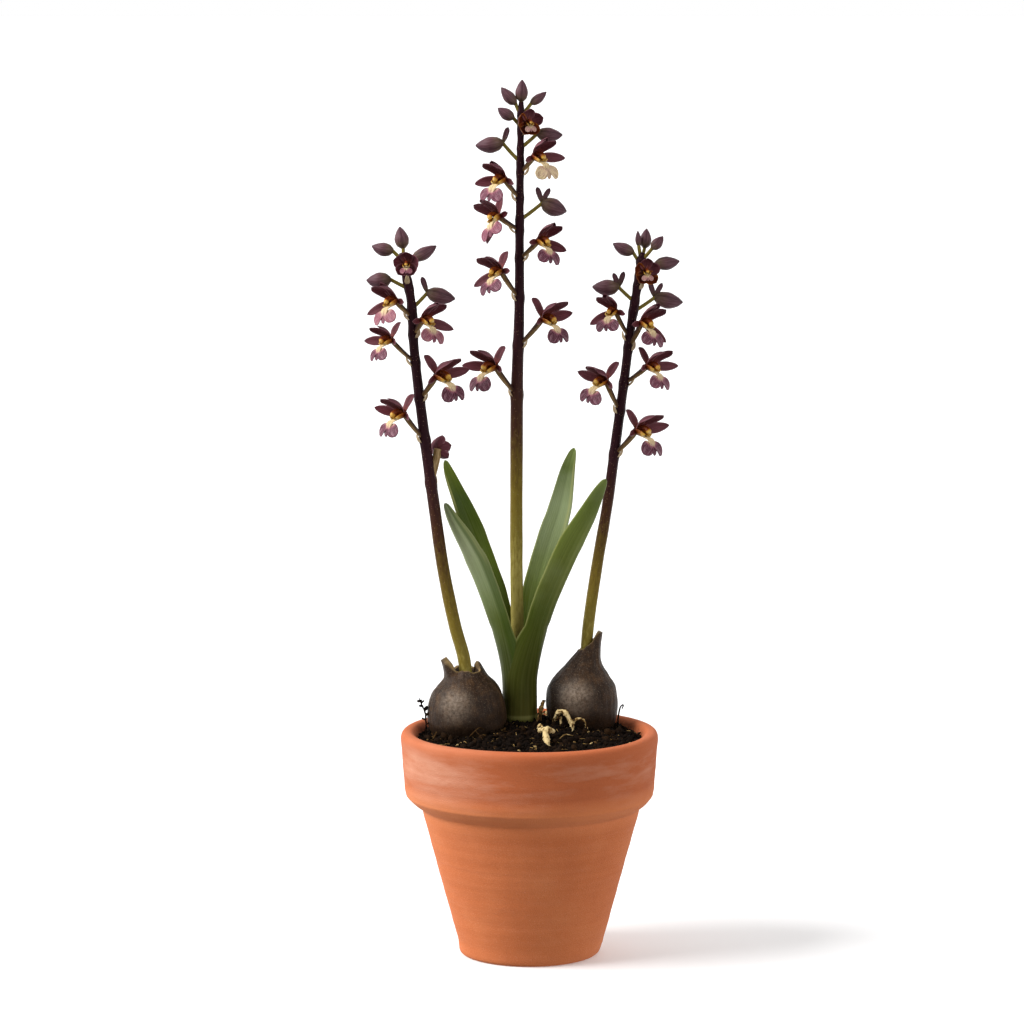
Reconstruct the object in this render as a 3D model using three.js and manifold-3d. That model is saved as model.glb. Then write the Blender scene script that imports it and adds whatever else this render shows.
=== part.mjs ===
// Potted marsh orchid: a clay pot of compost, two swollen stem bases, a leafy shoot,
// and three flower stalks with their buds and open flowers.
// Millimetres, +Z up, origin on the table under the middle of the pot, the front towards -Y.
// Directions are degrees from +X, turning to the left seen from above, so -90 is the front.

import * as THREE from 'three';
import { mergeVertices } from 'three/addons/utils/BufferGeometryUtils.js';
import Module from 'manifold-3d';

const wasm = await Module();
wasm.setup();

const GAP = 0.3;                 // clearance between pieces that touch

// Pot: a thrown clay pot 130 mm across
const POT_HEIGHT = 114;
const RIM_RADIUS = 65;
const RIM_LOW_RADIUS = 63.2;     // lower edge of the band round the top
const RIM_DEPTH = 29;            // height of that band
const LIP_ROUND = 3.5;           // rounding of the rim
const MOUTH_RADIUS = 58.5;
const NECK_RADIUS = 55.7;        // body just below the band
const NECK_DROP = 38.4;          // from the rim down to the neck
const BAND_CORNER = [62.3, 79.5]; // where the slopes above and below the band's round foot would meet
const FOOT_RADIUS = 35.6;
const FOOT_CHAMFER = 1.4;
const FLOOR_THICKNESS = 8;
const FLOOR_RADIUS = 30;         // inside of the pot at its floor
const FLOOR_CHAMFER = 3;
const DRAIN_RADIUS = 8;
const POT_SIDES = 32;

// Compost: edge height, a low mound round the stems, and clods
const SOIL_EDGE = 108.5;
const SOIL_RISE = 6;
const SOIL_MIDDLE = [0, 15];
const SOIL_SPREAD = 36;
const SOIL_RINGS = 6;
const SOIL_CENTRE = 2;           // radius of the smallest ring
const CLOD_SPACING = 9;
// Crossing waves of the clods: [height, waves per spacing along X, along Y, phase]
const CLOD_WAVES = [[0.4, 1, 0.3, 1.3], [0.35, -0.4, 1, 0.4], [0.25, 1.7, 0.85, 0], [0.2, -0.9, 2.3, 2]];

// Swollen stem bases: rings [height, radius, sideways shift], and the dry tips round the top
// as [foot x, y, z, tip x, y, z, radius], with x and y from the middle of the base
const BULB_SIDES = 18;
const BULB_FLATTENING = 0.94;    // depth against width
const HORN_TIP = 0.5;
const BULBS = {
  left: {
    place: [-31.6, 12],
    rings: [[104.5, 11, 0], [109, 17, 0], [115, 19.7, 0], [121, 19.9, 0], [127, 18.8, 0], [132, 17, 0],
      [136, 14.4, 0], [139.5, 11.4, -0.5], [142, 9.6, -0.6], [142.8, 7.6, 0]],
    horns: [[-11.5, 0, 139, -11, -0.5, 147, 1.9], [6.5, 1, 140.5, 4.6, 0, 146.5, 1.7],
      [-2, -5.5, 140.5, -2.6, -5, 143.6, 1.6]],
  },
  right: {
    place: [27, 27],
    rings: [[104.5, 9.5, 0], [109, 14.5, 0], [115, 17.2, 0], [121, 18.2, 0], [127, 18, -0.2], [132, 17, -0.3],
      [137, 14.2, 0], [142, 11, 0.7], [146, 8.6, 1.5], [150, 6.7, 2.7], [153.5, 5.6, 3.3]],
    horns: [[7.4, -1, 151, 8.2, 0, 159.4, 1.7], [3, -3.4, 151, 3.4, -3.6, 156, 1.6]],
  },
};

// Flower stalks: [x, y, z] along the middle line, and [height, radius]
const STALK_SIDES = 8;
const STALK_STEPS = 14;
const STALKS = {
  left: {
    line: [[-31.6, 12, 134], [-33, 12, 148], [-37.5, 11, 165], [-43.5, 9.5, 195], [-48, 8, 227],
      [-53, 6, 265], [-57.5, 4, 305], [-59, 3, 330], [-62, 2, 346], [-63.5, 2, 354]],
    radii: [[134, 3.2], [200, 3.1], [270, 2.6], [345, 2.1], [354, 1.3]],
  },
  middle: {
    line: [[-5.5, 25, 106], [-6, 24.5, 158], [-6.5, 24, 202], [-6.5, 23, 245], [-6.3, 22.5, 285],
      [-5.2, 21.5, 324], [-5, 21, 366], [-4.5, 20, 409], [-4.2, 20, 428]],
    radii: [[106, 3.2], [278, 3.2], [325, 2.5], [400, 1.8], [428, 1.2]],
  },
  right: {
    line: [[28.6, 27, 144], [30, 27, 162], [34.5, 28.5, 194], [39.5, 29.5, 224], [44.5, 31, 262],
      [48, 32, 288], [51.5, 33, 316], [54.5, 33.5, 335], [57, 34, 352]],
    radii: [[144, 3], [200, 2.9], [270, 2.5], [340, 2.1], [352, 1.3]],
  },
};

// Open flowers: height of the foot on the stalk, direction round the stalk, reach from its middle line,
// rise above the foot, turn of the face, roll, size, and hood from 0 open to 1 closed over.
// A face turned 0 looks to the front.
const BLOOM_FIELDS = ['height', 'direction', 'reach', 'rise', 'turn', 'roll', 'size', 'hood'];
const BLOOMS = {
  left: [
    [340, -90, 7, 9, -5, 0, 0.85, 1],
    [322, -140, 10.5, 8.5, -40, 12, 1, 0.9],
    [313, -50, 7.5, 8, 40, -12, 1, 0.9],
    [299, -150, 13.5, 12, -50, 8, 1, 0.1],
    [281, -35, 10.5, 12, 48, 2, 1.1, 0],
    [260, -145, 12.5, 14, -50, 2, 1.05, 0.1],
    [238, 15, 5.5, 19, 35, 0, 0.72, 1],
  ],
  middle: [
    [413, -50, 5, 5, 25, 0, 0.62, 1],
    [393, -30, 8, 8, 40, 0, 1, 0.9],
    [380, -145, 9.5, 10, -40, 0, 1, 0.9],
    [364, -160, 11, 7, -40, 28, 1, 0.6],
    [350, -35, 11.5, 9, 40, -12, 1, 0.8],
    [330, -140, 12, 14, -42, 16, 1, 0.8],
    [306, -25, 13.5, 14, 48, 0, 1.05, 0],
    [281, -150, 12.5, 15, -48, 4, 1.12, 0],
  ],
  right: [
    [335, -55, 6.5, 8, 15, 0, 0.75, 1],
    [309, -150, 8.5, 14, -32, 6, 1, 0.9],
    [304, -40, 8.5, 13, 40, -12, 1, 0.8],
    [286, -20, 12.5, 9, 45, -10, 1, 0.1],
    [272, -140, 9.5, 16, -45, -8, 1.05, 0],
    [250, -35, 13.5, 13, 48, -6, 1.12, 0],
  ],
};

// Buds: the same first four fields, the direction it points, degrees upwards, length, width, and how many
// ears it has, the narrow bracts that stand up from its base
const BUD_FIELDS = ['height', 'direction', 'reach', 'rise', 'heading', 'up', 'length', 'width', 'ears'];
const BUDS = {
  left: [
    [350, 90, 2, 6, 130, 75, 11, 7.2, 0],
    [350, 170, 5, 5, 175, 12, 11, 7, 0],
    [347, 10, 4, 4, 5, 28, 13.5, 6.6, 0],
    [336, 185, 9, 5, 180, -3, 12.2, 8.4, 0],
    [326, 5, 7.5, 8.5, 0, -14, 14.5, 8.4, 1],
  ],
  middle: [
    [424, 90, 1, 4, 60, 84, 11, 6.4, 0],
    [421, 170, 2.5, 6, 180, 48, 11, 6, 0],
    [421, 20, 5, 6, 10, 36, 10, 4.8, 0],
    [416, -150, 4, 4, -170, 32, 9.5, 6, 0],
    [405, 0, 8, 7.5, 0, -4, 13, 7.6, 0],
    [398, 180, 8.5, 10, 180, -7, 14, 8.4, 1],
    [369, 15, 11.5, 9, 10, -21, 13.5, 8.4, 2],
  ],
  right: [
    [348, 60, 3.5, 6, 60, 78, 10, 6, 0],
    [348, 150, 1.5, 7, 150, 86, 8, 3.2, 0],
    [348, -20, 5.5, 6, 0, 48, 8.5, 5.6, 0],
    [346, 170, 3.5, 6, 175, 23, 11.5, 6.6, 0],
    [341, 5, 8, 5.5, 5, 5, 12.5, 7, 0],
    [327, 180, 8, 8, 180, -1, 13.5, 8.4, 2],
    [322, 20, 11.5, 7.5, 10, -12, 15, 8.6, 2],
  ],
};
const BUD_PROFILE = [[0, 0.3], [0.2, 0.84], [0.48, 1], [0.8, 0.6], [1, 0.08]]; // [share of length, of width]
const BUD_STEM_RADII = [0.8, 1.1];
const EAR_LENGTH = 7;
const EAR_WIDTH = 2.3;
const EAR_LEANS = [-18, 30];
const EAR_TURN = 25;

// Leaves: direction of the back of the leaf at the shoot and of its blade, radius of the wrapped base,
// half angle it wraps, half width of the blade, and the midrib [x, y, z] above the wrapped base
const SHOOT = [-5.5, 25];
const SHOOT_FOOT = 106;
const SHEATH_TOP = 128;
const LEAF_OPENING = 50;         // height over which the wrapped base opens into the blade
const LEAF_BEND = 24;            // half angle across the open blade
const LEAF_THICKNESS = 1;
const LEAF_TIP = 0.35;           // half width at the very tip
const LEAF_TAPER = 3.2;
const LEAF_ACROSS = 5;           // points across one face
const LEAF_STEPS = 12;
const LEAVES = {
  front_right: {
    back: -55, face: -62, wrap: 6.8, angle: 110, half: 6.8,
    midrib: [[-0.8, 18.5, 140], [2.6, 16.5, 156], [6.4, 15, 171], [13.6, 12.5, 190], [22.8, 10.5, 210],
      [29.4, 9.5, 222], [34.6, 9, 232.5], [38.3, 9, 240]],
  },
  front_left: {
    back: -130, face: -118, wrap: 5.5, angle: 85, half: 5.9,
    midrib: [[-10.6, 19.6, 141], [-13.6, 17.5, 158], [-16.8, 15.5, 170], [-25, 13.5, 193], [-30.6, 12.5, 205],
      [-37.9, 11, 218], [-42.5, 10, 227.7]],
  },
  back_right: {
    back: 30, face: 72, wrap: 4.1, angle: 56, half: 6.6,
    midrib: [[-1, 28, 142], [0.4, 30, 158], [3, 31.5, 178], [6.5, 32.5, 192], [10.8, 33, 206],
      [15.8, 34, 222], [20, 34, 243], [22.7, 34, 252.8]],
  },
  back_left: {
    back: 150, face: 110, wrap: 4.1, angle: 56, half: 5.6,
    midrib: [[-10.6, 28, 142], [-12.6, 30, 158], [-16.8, 31, 177], [-23.4, 31.5, 196], [-30, 32, 214],
      [-34.4, 32, 225], [-41, 32, 241], [-42.8, 32, 246.8]],
  },
};

// One flower at size 1, with its face to -Y: sepals and petals as
// [angle in the flower's plane, forward lean, curl, length, width, points across one face]
const petalsFor = (hood) => [
  [90, 32 - 18 * hood, 20 + 70 * hood, 12 + hood, 5.6 + 1.6 * hood, 3],
  [138 + 54 * hood, 22 * hood, 10, 12.5, 5.2 - 0.6 * hood, 3],
  [42 - 54 * hood, 22 * hood, 10, 12.5, 5.2 - 0.6 * hood, 3],
  [166 + 62 * hood, 34 - 20 * hood, 10, 12.5, 4.2, 2],
  [14 - 62 * hood, 34 - 20 * hood, 10, 12.5, 4.2, 2],
];
const PETAL_PROFILE = [[0.05, 0.16], [0.4, 0.94], [0.72, 0.86], [1, 0.12]]; // [share of length, of width]
const PETAL_THICKNESS = 0.8;
const PETAL_CUP = 0.28;          // rise of a petal's edges against its half width
const OVARY_RADII = [0.9, 1.5, 1.6];
const OVARY_LEAST = 0.8;         // size below which the ovary grows no thinner
// The column and throat: [forward, up, radius] from the middle of the flower
const COLUMN = [[0, 0, 1.9], [2.8, -0.1, 2.2], [5.6, -1, 2], [7.4, -2.2, 0.9]];
const TUBE_SIDES = 6;
// Half outline of the lip, laid flat: [out from the middle, down from its root]
const LIP_OUTLINE = [
  [1.8, 0], [2.1, 3.2], [4.2, 3.8], [5.9, 5.8], [5.7, 8.2], [3.7, 9.4], [1.9, 7.6], [1, 8.8],
];
const LIP_ROOT = [3.4, -2.5];    // forward and up from the middle of the flower
const LIP_SLOPE = [52, 78];      // degrees below level at the root and at the tip
const LIP_LENGTH = 9.4;
const LIP_SWEEP = 0.03;          // how the lobes sweep back, per square of the distance out
const LIP_THICKNESS = 0.8;

// Colours
const clay = new THREE.MeshStandardMaterial({ color: '#b9683f', roughness: 0.85, metalness: 0 });
const compost = new THREE.MeshStandardMaterial({ color: '#2b1d15', roughness: 1, metalness: 0 });
const bulbSkin = new THREE.MeshStandardMaterial({ color: '#5e4c43', roughness: 0.7, metalness: 0 });
const leafGreen = new THREE.MeshStandardMaterial({ color: '#46682c', roughness: 0.45, metalness: 0 });
const stalkBrown = new THREE.MeshStandardMaterial({ color: '#4b2f2a', roughness: 0.55, metalness: 0 });
const petalPurple = new THREE.MeshStandardMaterial({ color: '#4f2638', roughness: 0.5, metalness: 0 });
const lipCream = new THREE.MeshStandardMaterial({ color: '#9c6a70', roughness: 0.5, metalness: 0 });

const radians = THREE.MathUtils.degToRad;
const vector = (p) => new THREE.Vector3(...p);

/** The unit vector that points in a direction, raised by some degrees. */
function headed(direction, up = 0) {
  const [turn, raise] = [radians(direction), radians(up)];
  return vector([Math.cos(turn) * Math.cos(raise), Math.sin(turn) * Math.cos(raise), Math.sin(raise)]);
}

/** Straight-line reading of a list of [place, value] pairs. */
function along(pairs, place) {
  const after = pairs.findIndex(([p]) => p >= place);
  if (after === 0) return pairs[0][1];
  if (after < 0) return pairs[pairs.length - 1][1];
  const [[p0, v0], [p1, v1]] = [pairs[after - 1], pairs[after]];
  return v0 + (v1 - v0) * (place - p0) / (p1 - p0);
}

/** A row of a table with a name for each of its values. */
const named = (fields, row) => Object.fromEntries(fields.map((field, i) => [field, row[i]]));

/** Geometry from points and triangles, with its faces turned outwards. */
function closedGeometry(points, faces) {
  let volume = 0;
  const cross = new THREE.Vector3();
  for (let i = 0; i < faces.length; i += 3) {
    const [a, b, c] = [points[faces[i]], points[faces[i + 1]], points[faces[i + 2]]];
    volume += a.dot(cross.crossVectors(b, c));
  }
  const geometry = new THREE.BufferGeometry().setFromPoints(points);
  geometry.setIndex(volume > 0 ? faces : faces.reverse());
  return geometry;
}

/** A solid of the boolean library from a closed geometry. */
function toSolid(geometry) {
  const bare = geometry.clone();
  bare.deleteAttribute('normal');
  bare.deleteAttribute('uv');
  const merged = mergeVertices(bare, 1e-4);
  return new wasm.Manifold(new wasm.Mesh({
    numProp: 3,
    vertProperties: new Float32Array(merged.attributes.position.array),
    triVerts: new Uint32Array(merged.index.array),
  }));
}

/** The geometry of a solid of the boolean library. */
function toGeometry(solid) {
  const mesh = solid.getMesh();
  const geometry = new THREE.BufferGeometry();
  geometry.setAttribute('position', new THREE.BufferAttribute(new Float32Array(mesh.vertProperties), 3));
  geometry.setIndex(Array.from(mesh.triVerts));
  return geometry;
}

const fuse = (geometries) => geometries.map(toSolid).reduce((whole, next) => whole.add(next));

/** A skin over round rings of points, closed by a fan at each end. */
function roundSkin(rings) {
  const sides = rings[0].length;
  const points = rings.flat();
  const faces = [];
  for (let i = 0; i < rings.length - 1; i++) {
    for (let k = 0; k < sides; k++) {
      const next = (k + 1) % sides;
      const [a, b, c, d] = [i * sides + k, i * sides + next, (i + 1) * sides + next, (i + 1) * sides + k];
      faces.push(a, b, c, a, c, d);
    }
  }
  const last = (rings.length - 1) * sides;
  for (let k = 1; k < sides - 1; k++) {
    faces.push(0, k + 1, k, last, last + k, last + k + 1);
  }
  return closedGeometry(points, faces);
}

/** A skin over flat rings: each runs across the front from left to right and back across the rear.
 *  The rear is split along the same lines as the front, so that the two faces never cross. */
function bladeSkin(rings) {
  const around = rings[0].length;
  const across = around / 2;
  const points = rings.flat();
  const faces = [];
  for (let i = 0; i < rings.length - 1; i++) {
    for (let k = 0; k < around; k++) {
      const next = (k + 1) % around;
      const [a, b, c, d] = [i * around + k, i * around + next, (i + 1) * around + next, (i + 1) * around + k];
      if (k < across) faces.push(a, b, c, a, c, d);
      else faces.push(a, b, d, b, c, d);
    }
  }
  const last = (rings.length - 1) * around;
  for (let k = 0; k < across - 1; k++) {
    const rear = around - 1 - k;
    faces.push(k, rear, rear - 1, k, rear - 1, k + 1);
    faces.push(last + k, last + rear - 1, last + rear, last + k, last + k + 1, last + rear - 1);
  }
  return closedGeometry(points, faces);
}

/** The direction of a line of points at one of them. */
function forwardAt(points, i) {
  const before = points[Math.max(i - 1, 0)];
  const after = points[Math.min(i + 1, points.length - 1)];
  return after.clone().sub(before).normalize();
}

/** A round stem through points, with a radius for each point. */
function stem(points, radii, sides) {
  const nearlyParallel = 0.3;
  const rings = points.map((point, i) => {
    const forward = forwardAt(points, i);
    const side = vector([0, 1, 0]).cross(forward);
    if (side.length() < nearlyParallel) side.set(1, 0, 0).addScaledVector(forward, -forward.x);
    side.normalize();
    const up = forward.clone().cross(side);
    return Array.from({ length: sides }, (_, k) => {
      const turn = 2 * Math.PI * k / sides;
      return point.clone()
        .addScaledVector(side, radii[i] * Math.cos(turn))
        .addScaledVector(up, radii[i] * Math.sin(turn));
    });
  });
  return roundSkin(rings);
}

/** Radius of the inside of the pot at a height. */
const potWall = (z) => THREE.MathUtils.mapLinear(z, FLOOR_THICKNESS, POT_HEIGHT, FLOOR_RADIUS, MOUTH_RADIUS);

function makePot() {
  const band = POT_HEIGHT - RIM_DEPTH;
  const outline = new THREE.Path();
  outline.moveTo(DRAIN_RADIUS, 0);
  outline.lineTo(FOOT_RADIUS - FOOT_CHAMFER, 0);
  outline.lineTo(FOOT_RADIUS, FOOT_CHAMFER);
  outline.lineTo(NECK_RADIUS, POT_HEIGHT - NECK_DROP);
  outline.quadraticCurveTo(...BAND_CORNER, RIM_LOW_RADIUS, band);
  outline.lineTo(RIM_RADIUS, POT_HEIGHT - LIP_ROUND);
  outline.quadraticCurveTo(RIM_RADIUS, POT_HEIGHT, RIM_RADIUS - LIP_ROUND, POT_HEIGHT);
  outline.quadraticCurveTo(MOUTH_RADIUS, POT_HEIGHT, potWall(POT_HEIGHT - LIP_ROUND), POT_HEIGHT - LIP_ROUND);
  outline.lineTo(potWall(FLOOR_THICKNESS + FLOOR_CHAMFER), FLOOR_THICKNESS + FLOOR_CHAMFER);
  outline.lineTo(potWall(FLOOR_THICKNESS) - FLOOR_CHAMFER, FLOOR_THICKNESS);
  outline.lineTo(DRAIN_RADIUS, FLOOR_THICKNESS);
  outline.closePath();
  const pointsPerCurve = 2;
  const lathe = new THREE.LatheGeometry(outline.getPoints(pointsPerCurve), POT_SIDES);
  return toSolid(lathe.rotateX(Math.PI / 2));
}

/** Height of the compost: a low mound round the stems, with clods from crossing waves. */
function soilHeight(x, y) {
  const distance = Math.hypot(x - SOIL_MIDDLE[0], y - SOIL_MIDDLE[1]);
  const mound = SOIL_RISE * Math.exp(-((distance / SOIL_SPREAD) ** 2));
  const turn = 2 * Math.PI / CLOD_SPACING;
  const clods = CLOD_WAVES.reduce((sum, [height, alongX, alongY, phase]) => (
    sum + height * Math.sin(turn * (alongX * x + alongY * y) + phase)), 0);
  return SOIL_EDGE + mound + clods;
}

function makeSoil() {
  const under = FLOOR_THICKNESS + GAP;
  const corner = under + FLOOR_CHAMFER;
  const wall = (z) => potWall(z) - 1.2 * GAP;
  const ring = (radius, height) => Array.from({ length: POT_SIDES }, (_, k) => {
    const turn = 2 * Math.PI * k / POT_SIDES;
    const [x, y] = [radius * Math.sin(turn), radius * Math.cos(turn)];
    return vector([x, y, height ?? soilHeight(x, y)]);
  });
  const top = Array.from({ length: SOIL_RINGS }, (_, i) => (
    ring(THREE.MathUtils.lerp(wall(SOIL_EDGE), SOIL_CENTRE, (i + 1) / SOIL_RINGS))));
  const rings = [ring(wall(under) - FLOOR_CHAMFER, under), ring(wall(corner), corner),
    ring(wall(SOIL_EDGE), SOIL_EDGE), ...top];
  const holes = [...Object.keys(BULBS).map((name) => bulbBody(name, GAP)), shootHole()];
  return holes.reduce((solid, hole) => solid.subtract(toSolid(hole)), toSolid(roundSkin(rings)));
}

/** The round hole in the compost that the shoot stands in. */
function shootHole() {
  const radius = LEAVES.front_right.wrap + LEAF_THICKNESS + 2 * GAP;
  const foot = vector([...SHOOT, SHOOT_FOOT - GAP]);
  return stem([foot, foot.clone().setZ(SHEATH_TOP)], [radius, radius], POT_SIDES);
}

/** The bare body of a swollen base, grown by a clearance. */
function bulbBody(name, grow = 0) {
  const { place: [x, y], rings } = BULBS[name];
  const grown = rings.map(([height, radius, shift], i) => Array.from({ length: BULB_SIDES }, (_, k) => {
    const turn = 2 * Math.PI * k / BULB_SIDES;
    const r = radius + grow;
    const z = i === 0 ? height - grow : height;
    return vector([x + shift + r * Math.cos(turn), y + BULB_FLATTENING * r * Math.sin(turn), z]);
  }));
  return roundSkin(grown);
}

function makeBulb(name) {
  const { place: [x, y], horns } = BULBS[name];
  const tips = horns.map(([x0, y0, z0, x1, y1, z1, radius]) => (
    stem([vector([x + x0, y + y0, z0]), vector([x + x1, y + y1, z1])], [radius, HORN_TIP], 5)));
  return fuse([bulbBody(name), ...tips]).subtract(toSolid(stalkBody(name, GAP)));
}

/** Points down the middle of a stalk, evenly spaced. */
const stalkPoints = (name) => (
  new THREE.CatmullRomCurve3(STALKS[name].line.map(vector)).getSpacedPoints(STALK_STEPS));

function stalkBody(name, grow = 0) {
  const points = stalkPoints(name);
  const radii = points.map((p) => along(STALKS[name].radii, p.z) + grow);
  points[0].z -= grow;
  return stem(points, radii, STALK_SIDES);
}

/** The middle of a stalk at a height. */
function stalkAt(name, height) {
  const points = stalkPoints(name);
  const after = Math.max(points.findIndex((p) => p.z >= height), 1);
  const [below, above] = [points[after - 1], points[after]];
  return below.clone().lerp(above, (height - below.z) / (above.z - below.z));
}

/** Where a flower or bud sits: its own middle, and the bowed path to it from inside the stalk. */
function placeOn(name, { height, direction, reach, rise }) {
  const foot = stalkAt(name, height);
  const outward = headed(direction);
  const heart = foot.clone().addScaledVector(outward, reach).add(vector([0, 0, rise]));
  const bow = foot.clone().lerp(heart, 0.5).addScaledVector(outward, 0.1 * reach);
  return { heart, path: new THREE.QuadraticBezierCurve3(foot, bow, heart) };
}

/** A narrow pointed blade from the origin along +Z, its face to -Y, curled towards its face. */
function petal(length, width, curl, across) {
  const rings = PETAL_PROFILE.map(([s, share]) => {
    const bend = radians(curl) * s;
    const middle = vector([0, -length * s * Math.sin(bend / 2), length * s * Math.cos(bend / 2)]);
    const face = vector([0, -Math.cos(bend), -Math.sin(bend)]);
    const half = width * share / 2;
    const cup = across > 2 ? PETAL_CUP * half : 0;
    const front = Array.from({ length: across }, (_, k) => {
      const side = 2 * k / (across - 1) - 1;
      return middle.clone().add(vector([side * half, 0, 0]))
        .addScaledVector(face, PETAL_THICKNESS / 2 + cup * Math.abs(side));
    });
    const rear = front.map((point) => point.clone().addScaledVector(face, -PETAL_THICKNESS)).reverse();
    return [...front, ...rear];
  });
  return bladeSkin(rings);
}

/** Turns a petal that stands up to its angle in the flower's plane, leaning forward first. */
const setPetal = (geometry, angle, lean) => geometry.rotateX(radians(lean)).rotateY(radians(90 - angle));

/** The place, turn and size of a flower. */
function flowerPose(heart, { turn, roll, size }) {
  const turned = new THREE.Euler(0, radians(-roll), radians(turn), 'ZYX');
  return new THREE.Matrix4().compose(
    heart, new THREE.Quaternion().setFromEuler(turned), vector([size, size, size]));
}

/** The five petals and sepals, with the ovary and column as one tube from the stalk. */
function makeBloom(name, bloom) {
  const { heart, path } = placeOn(name, bloom);
  const pose = flowerPose(heart, bloom);
  const petals = petalsFor(bloom.hood).map(([angle, lean, curl, length, width, across]) => (
    setPetal(petal(length, width, curl, across), angle, lean).applyMatrix4(pose)));
  const ovary = path.getPoints(OVARY_RADII.length).slice(0, -1);
  const column = COLUMN.map(([forward, up]) => vector([0, -forward, up]).applyMatrix4(pose));
  const radii = [...OVARY_RADII.map((r) => r * Math.max(bloom.size, OVARY_LEAST)),
    ...COLUMN.map(([, , r]) => r * bloom.size)];
  const tube = stem([...ovary, ...column], radii, TUBE_SIDES);
  return fuse([tube, ...petals]).subtract(toSolid(stalkBody(name, GAP)));
}

/** The lip: a flat lobed outline given thickness, then bent forward and down below the column. */
function makeLip(name, bloom) {
  const right = LIP_OUTLINE.map(([x, down]) => new THREE.Vector2(x, -down));
  const left = LIP_OUTLINE.map(([x, down]) => new THREE.Vector2(-x, -down)).reverse();
  const flat = new THREE.ExtrudeGeometry(
    new THREE.Shape([...right, ...left]), { depth: LIP_THICKNESS, bevelEnabled: false });
  const slopeAt = (down) => radians(THREE.MathUtils.lerp(...LIP_SLOPE, down / LIP_LENGTH));
  const position = flat.attributes.position;
  for (let i = 0; i < position.count; i++) {
    const [x, down, depth] = [position.getX(i), -position.getY(i), position.getZ(i)];
    const chord = slopeAt(down / 2);
    const lift = depth - LIP_SWEEP * x * x;
    const forward = LIP_ROOT[0] + down * Math.cos(chord) + lift * Math.sin(slopeAt(down));
    const up = LIP_ROOT[1] - LIP_THICKNESS - down * Math.sin(chord) + lift * Math.cos(slopeAt(down));
    position.setXYZ(i, x, -forward, up);
  }
  return toSolid(flat.applyMatrix4(flowerPose(placeOn(name, bloom).heart, bloom)));
}

/** A pointed bud with its short stem and, on some, narrow bracts. */
function makeBud(name, bud) {
  const { heart, path } = placeOn(name, bud);
  const axis = headed(bud.heading, bud.up);
  const middles = BUD_PROFILE.map(([s]) => heart.clone().addScaledVector(axis, bud.length * s));
  const widths = BUD_PROFILE.map(([, share]) => bud.width / 2 * share);
  const foot = path.getPoints(BUD_STEM_RADII.length).slice(0, -1);
  const body = stem([...foot, ...middles], [...BUD_STEM_RADII, ...widths], TUBE_SIDES);
  const ears = EAR_LEANS.slice(0, bud.ears).map((lean, i) => petal(EAR_LENGTH, EAR_WIDTH, 10, 2)
    .rotateY(radians(lean) * Math.sign(axis.x))
    .rotateZ(radians(i * EAR_TURN))
    .translate(...heart.toArray()));
  return [body, ...ears];
}

const makeStalk = (name) => fuse([
  stalkBody(name), ...BUDS[name].flatMap((row) => makeBud(name, named(BUD_FIELDS, row)))]);

/** A leaf: an arc that wraps the shoot at its foot and opens into a strap blade towards the tip. */
function leafBody(name, grow = 0) {
  const { back, face, wrap, angle, half, midrib } = LEAVES[name];
  const foot = vector([...SHOOT, SHOOT_FOOT]).addScaledVector(headed(back), wrap);
  const sheath = [foot, foot.clone().setZ((SHOOT_FOOT + SHEATH_TOP) / 2), foot.clone().setZ(SHEATH_TOP)];
  const points = new THREE.CatmullRomCurve3([...sheath, ...midrib.map(vector)]).getSpacedPoints(LEAF_STEPS);
  const tip = points[points.length - 1].z;
  const rings = points.map((point, i) => {
    const forward = forwardAt(points, i);
    const opened = THREE.MathUtils.smoothstep(point.z, SHEATH_TOP - 4, SHEATH_TOP + LEAF_OPENING);
    const outward = headed(THREE.MathUtils.lerp(back, face, opened));
    const inward = outward.clone().negate().addScaledVector(forward, outward.dot(forward)).normalize();
    const sideways = forward.clone().cross(inward);
    const left = Math.max((tip - point.z) / (tip - SHEATH_TOP), 0);
    const blade = half * Math.min(1, Math.sqrt(left * LEAF_TAPER)) + LEAF_TIP;
    const reach = THREE.MathUtils.lerp(wrap * radians(angle), blade, Math.min(1, opened * 1.6));
    const bend = radians(THREE.MathUtils.lerp(angle, LEAF_BEND, Math.min(1, opened * 1.4)));
    const radius = reach / bend;
    const spread = bend + grow / radius;
    const arc = (r) => Array.from({ length: LEAF_ACROSS }, (_, k) => {
      const turn = spread * (2 * k / (LEAF_ACROSS - 1) - 1);
      return point.clone()
        .addScaledVector(sideways, r * Math.sin(turn))
        .addScaledVector(inward, radius - r * Math.cos(turn));
    });
    return [...arc(radius - grow), ...arc(radius + LEAF_THICKNESS + grow).reverse()];
  });
  return bladeSkin(rings);
}

/** A leaf cleared of the stalk and of the leaves that wrap round it. */
function makeLeaf(name) {
  const names = Object.keys(LEAVES);
  const outer = names.slice(0, names.indexOf(name)).map((other) => leafBody(other, GAP));
  const cleared = [stalkBody('middle', GAP), ...outer].reduce(
    (solid, other) => solid.subtract(toSolid(other)), toSolid(leafBody(name)));
  return cleared.decompose().reduce((best, next) => (next.volume() > best.volume() ? next : best));
}

const plant = new THREE.Group();

function addPiece(name, solid, material) {
  const mesh = new THREE.Mesh(toGeometry(solid), material.clone());
  mesh.name = name;
  plant.add(mesh);
}

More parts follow.
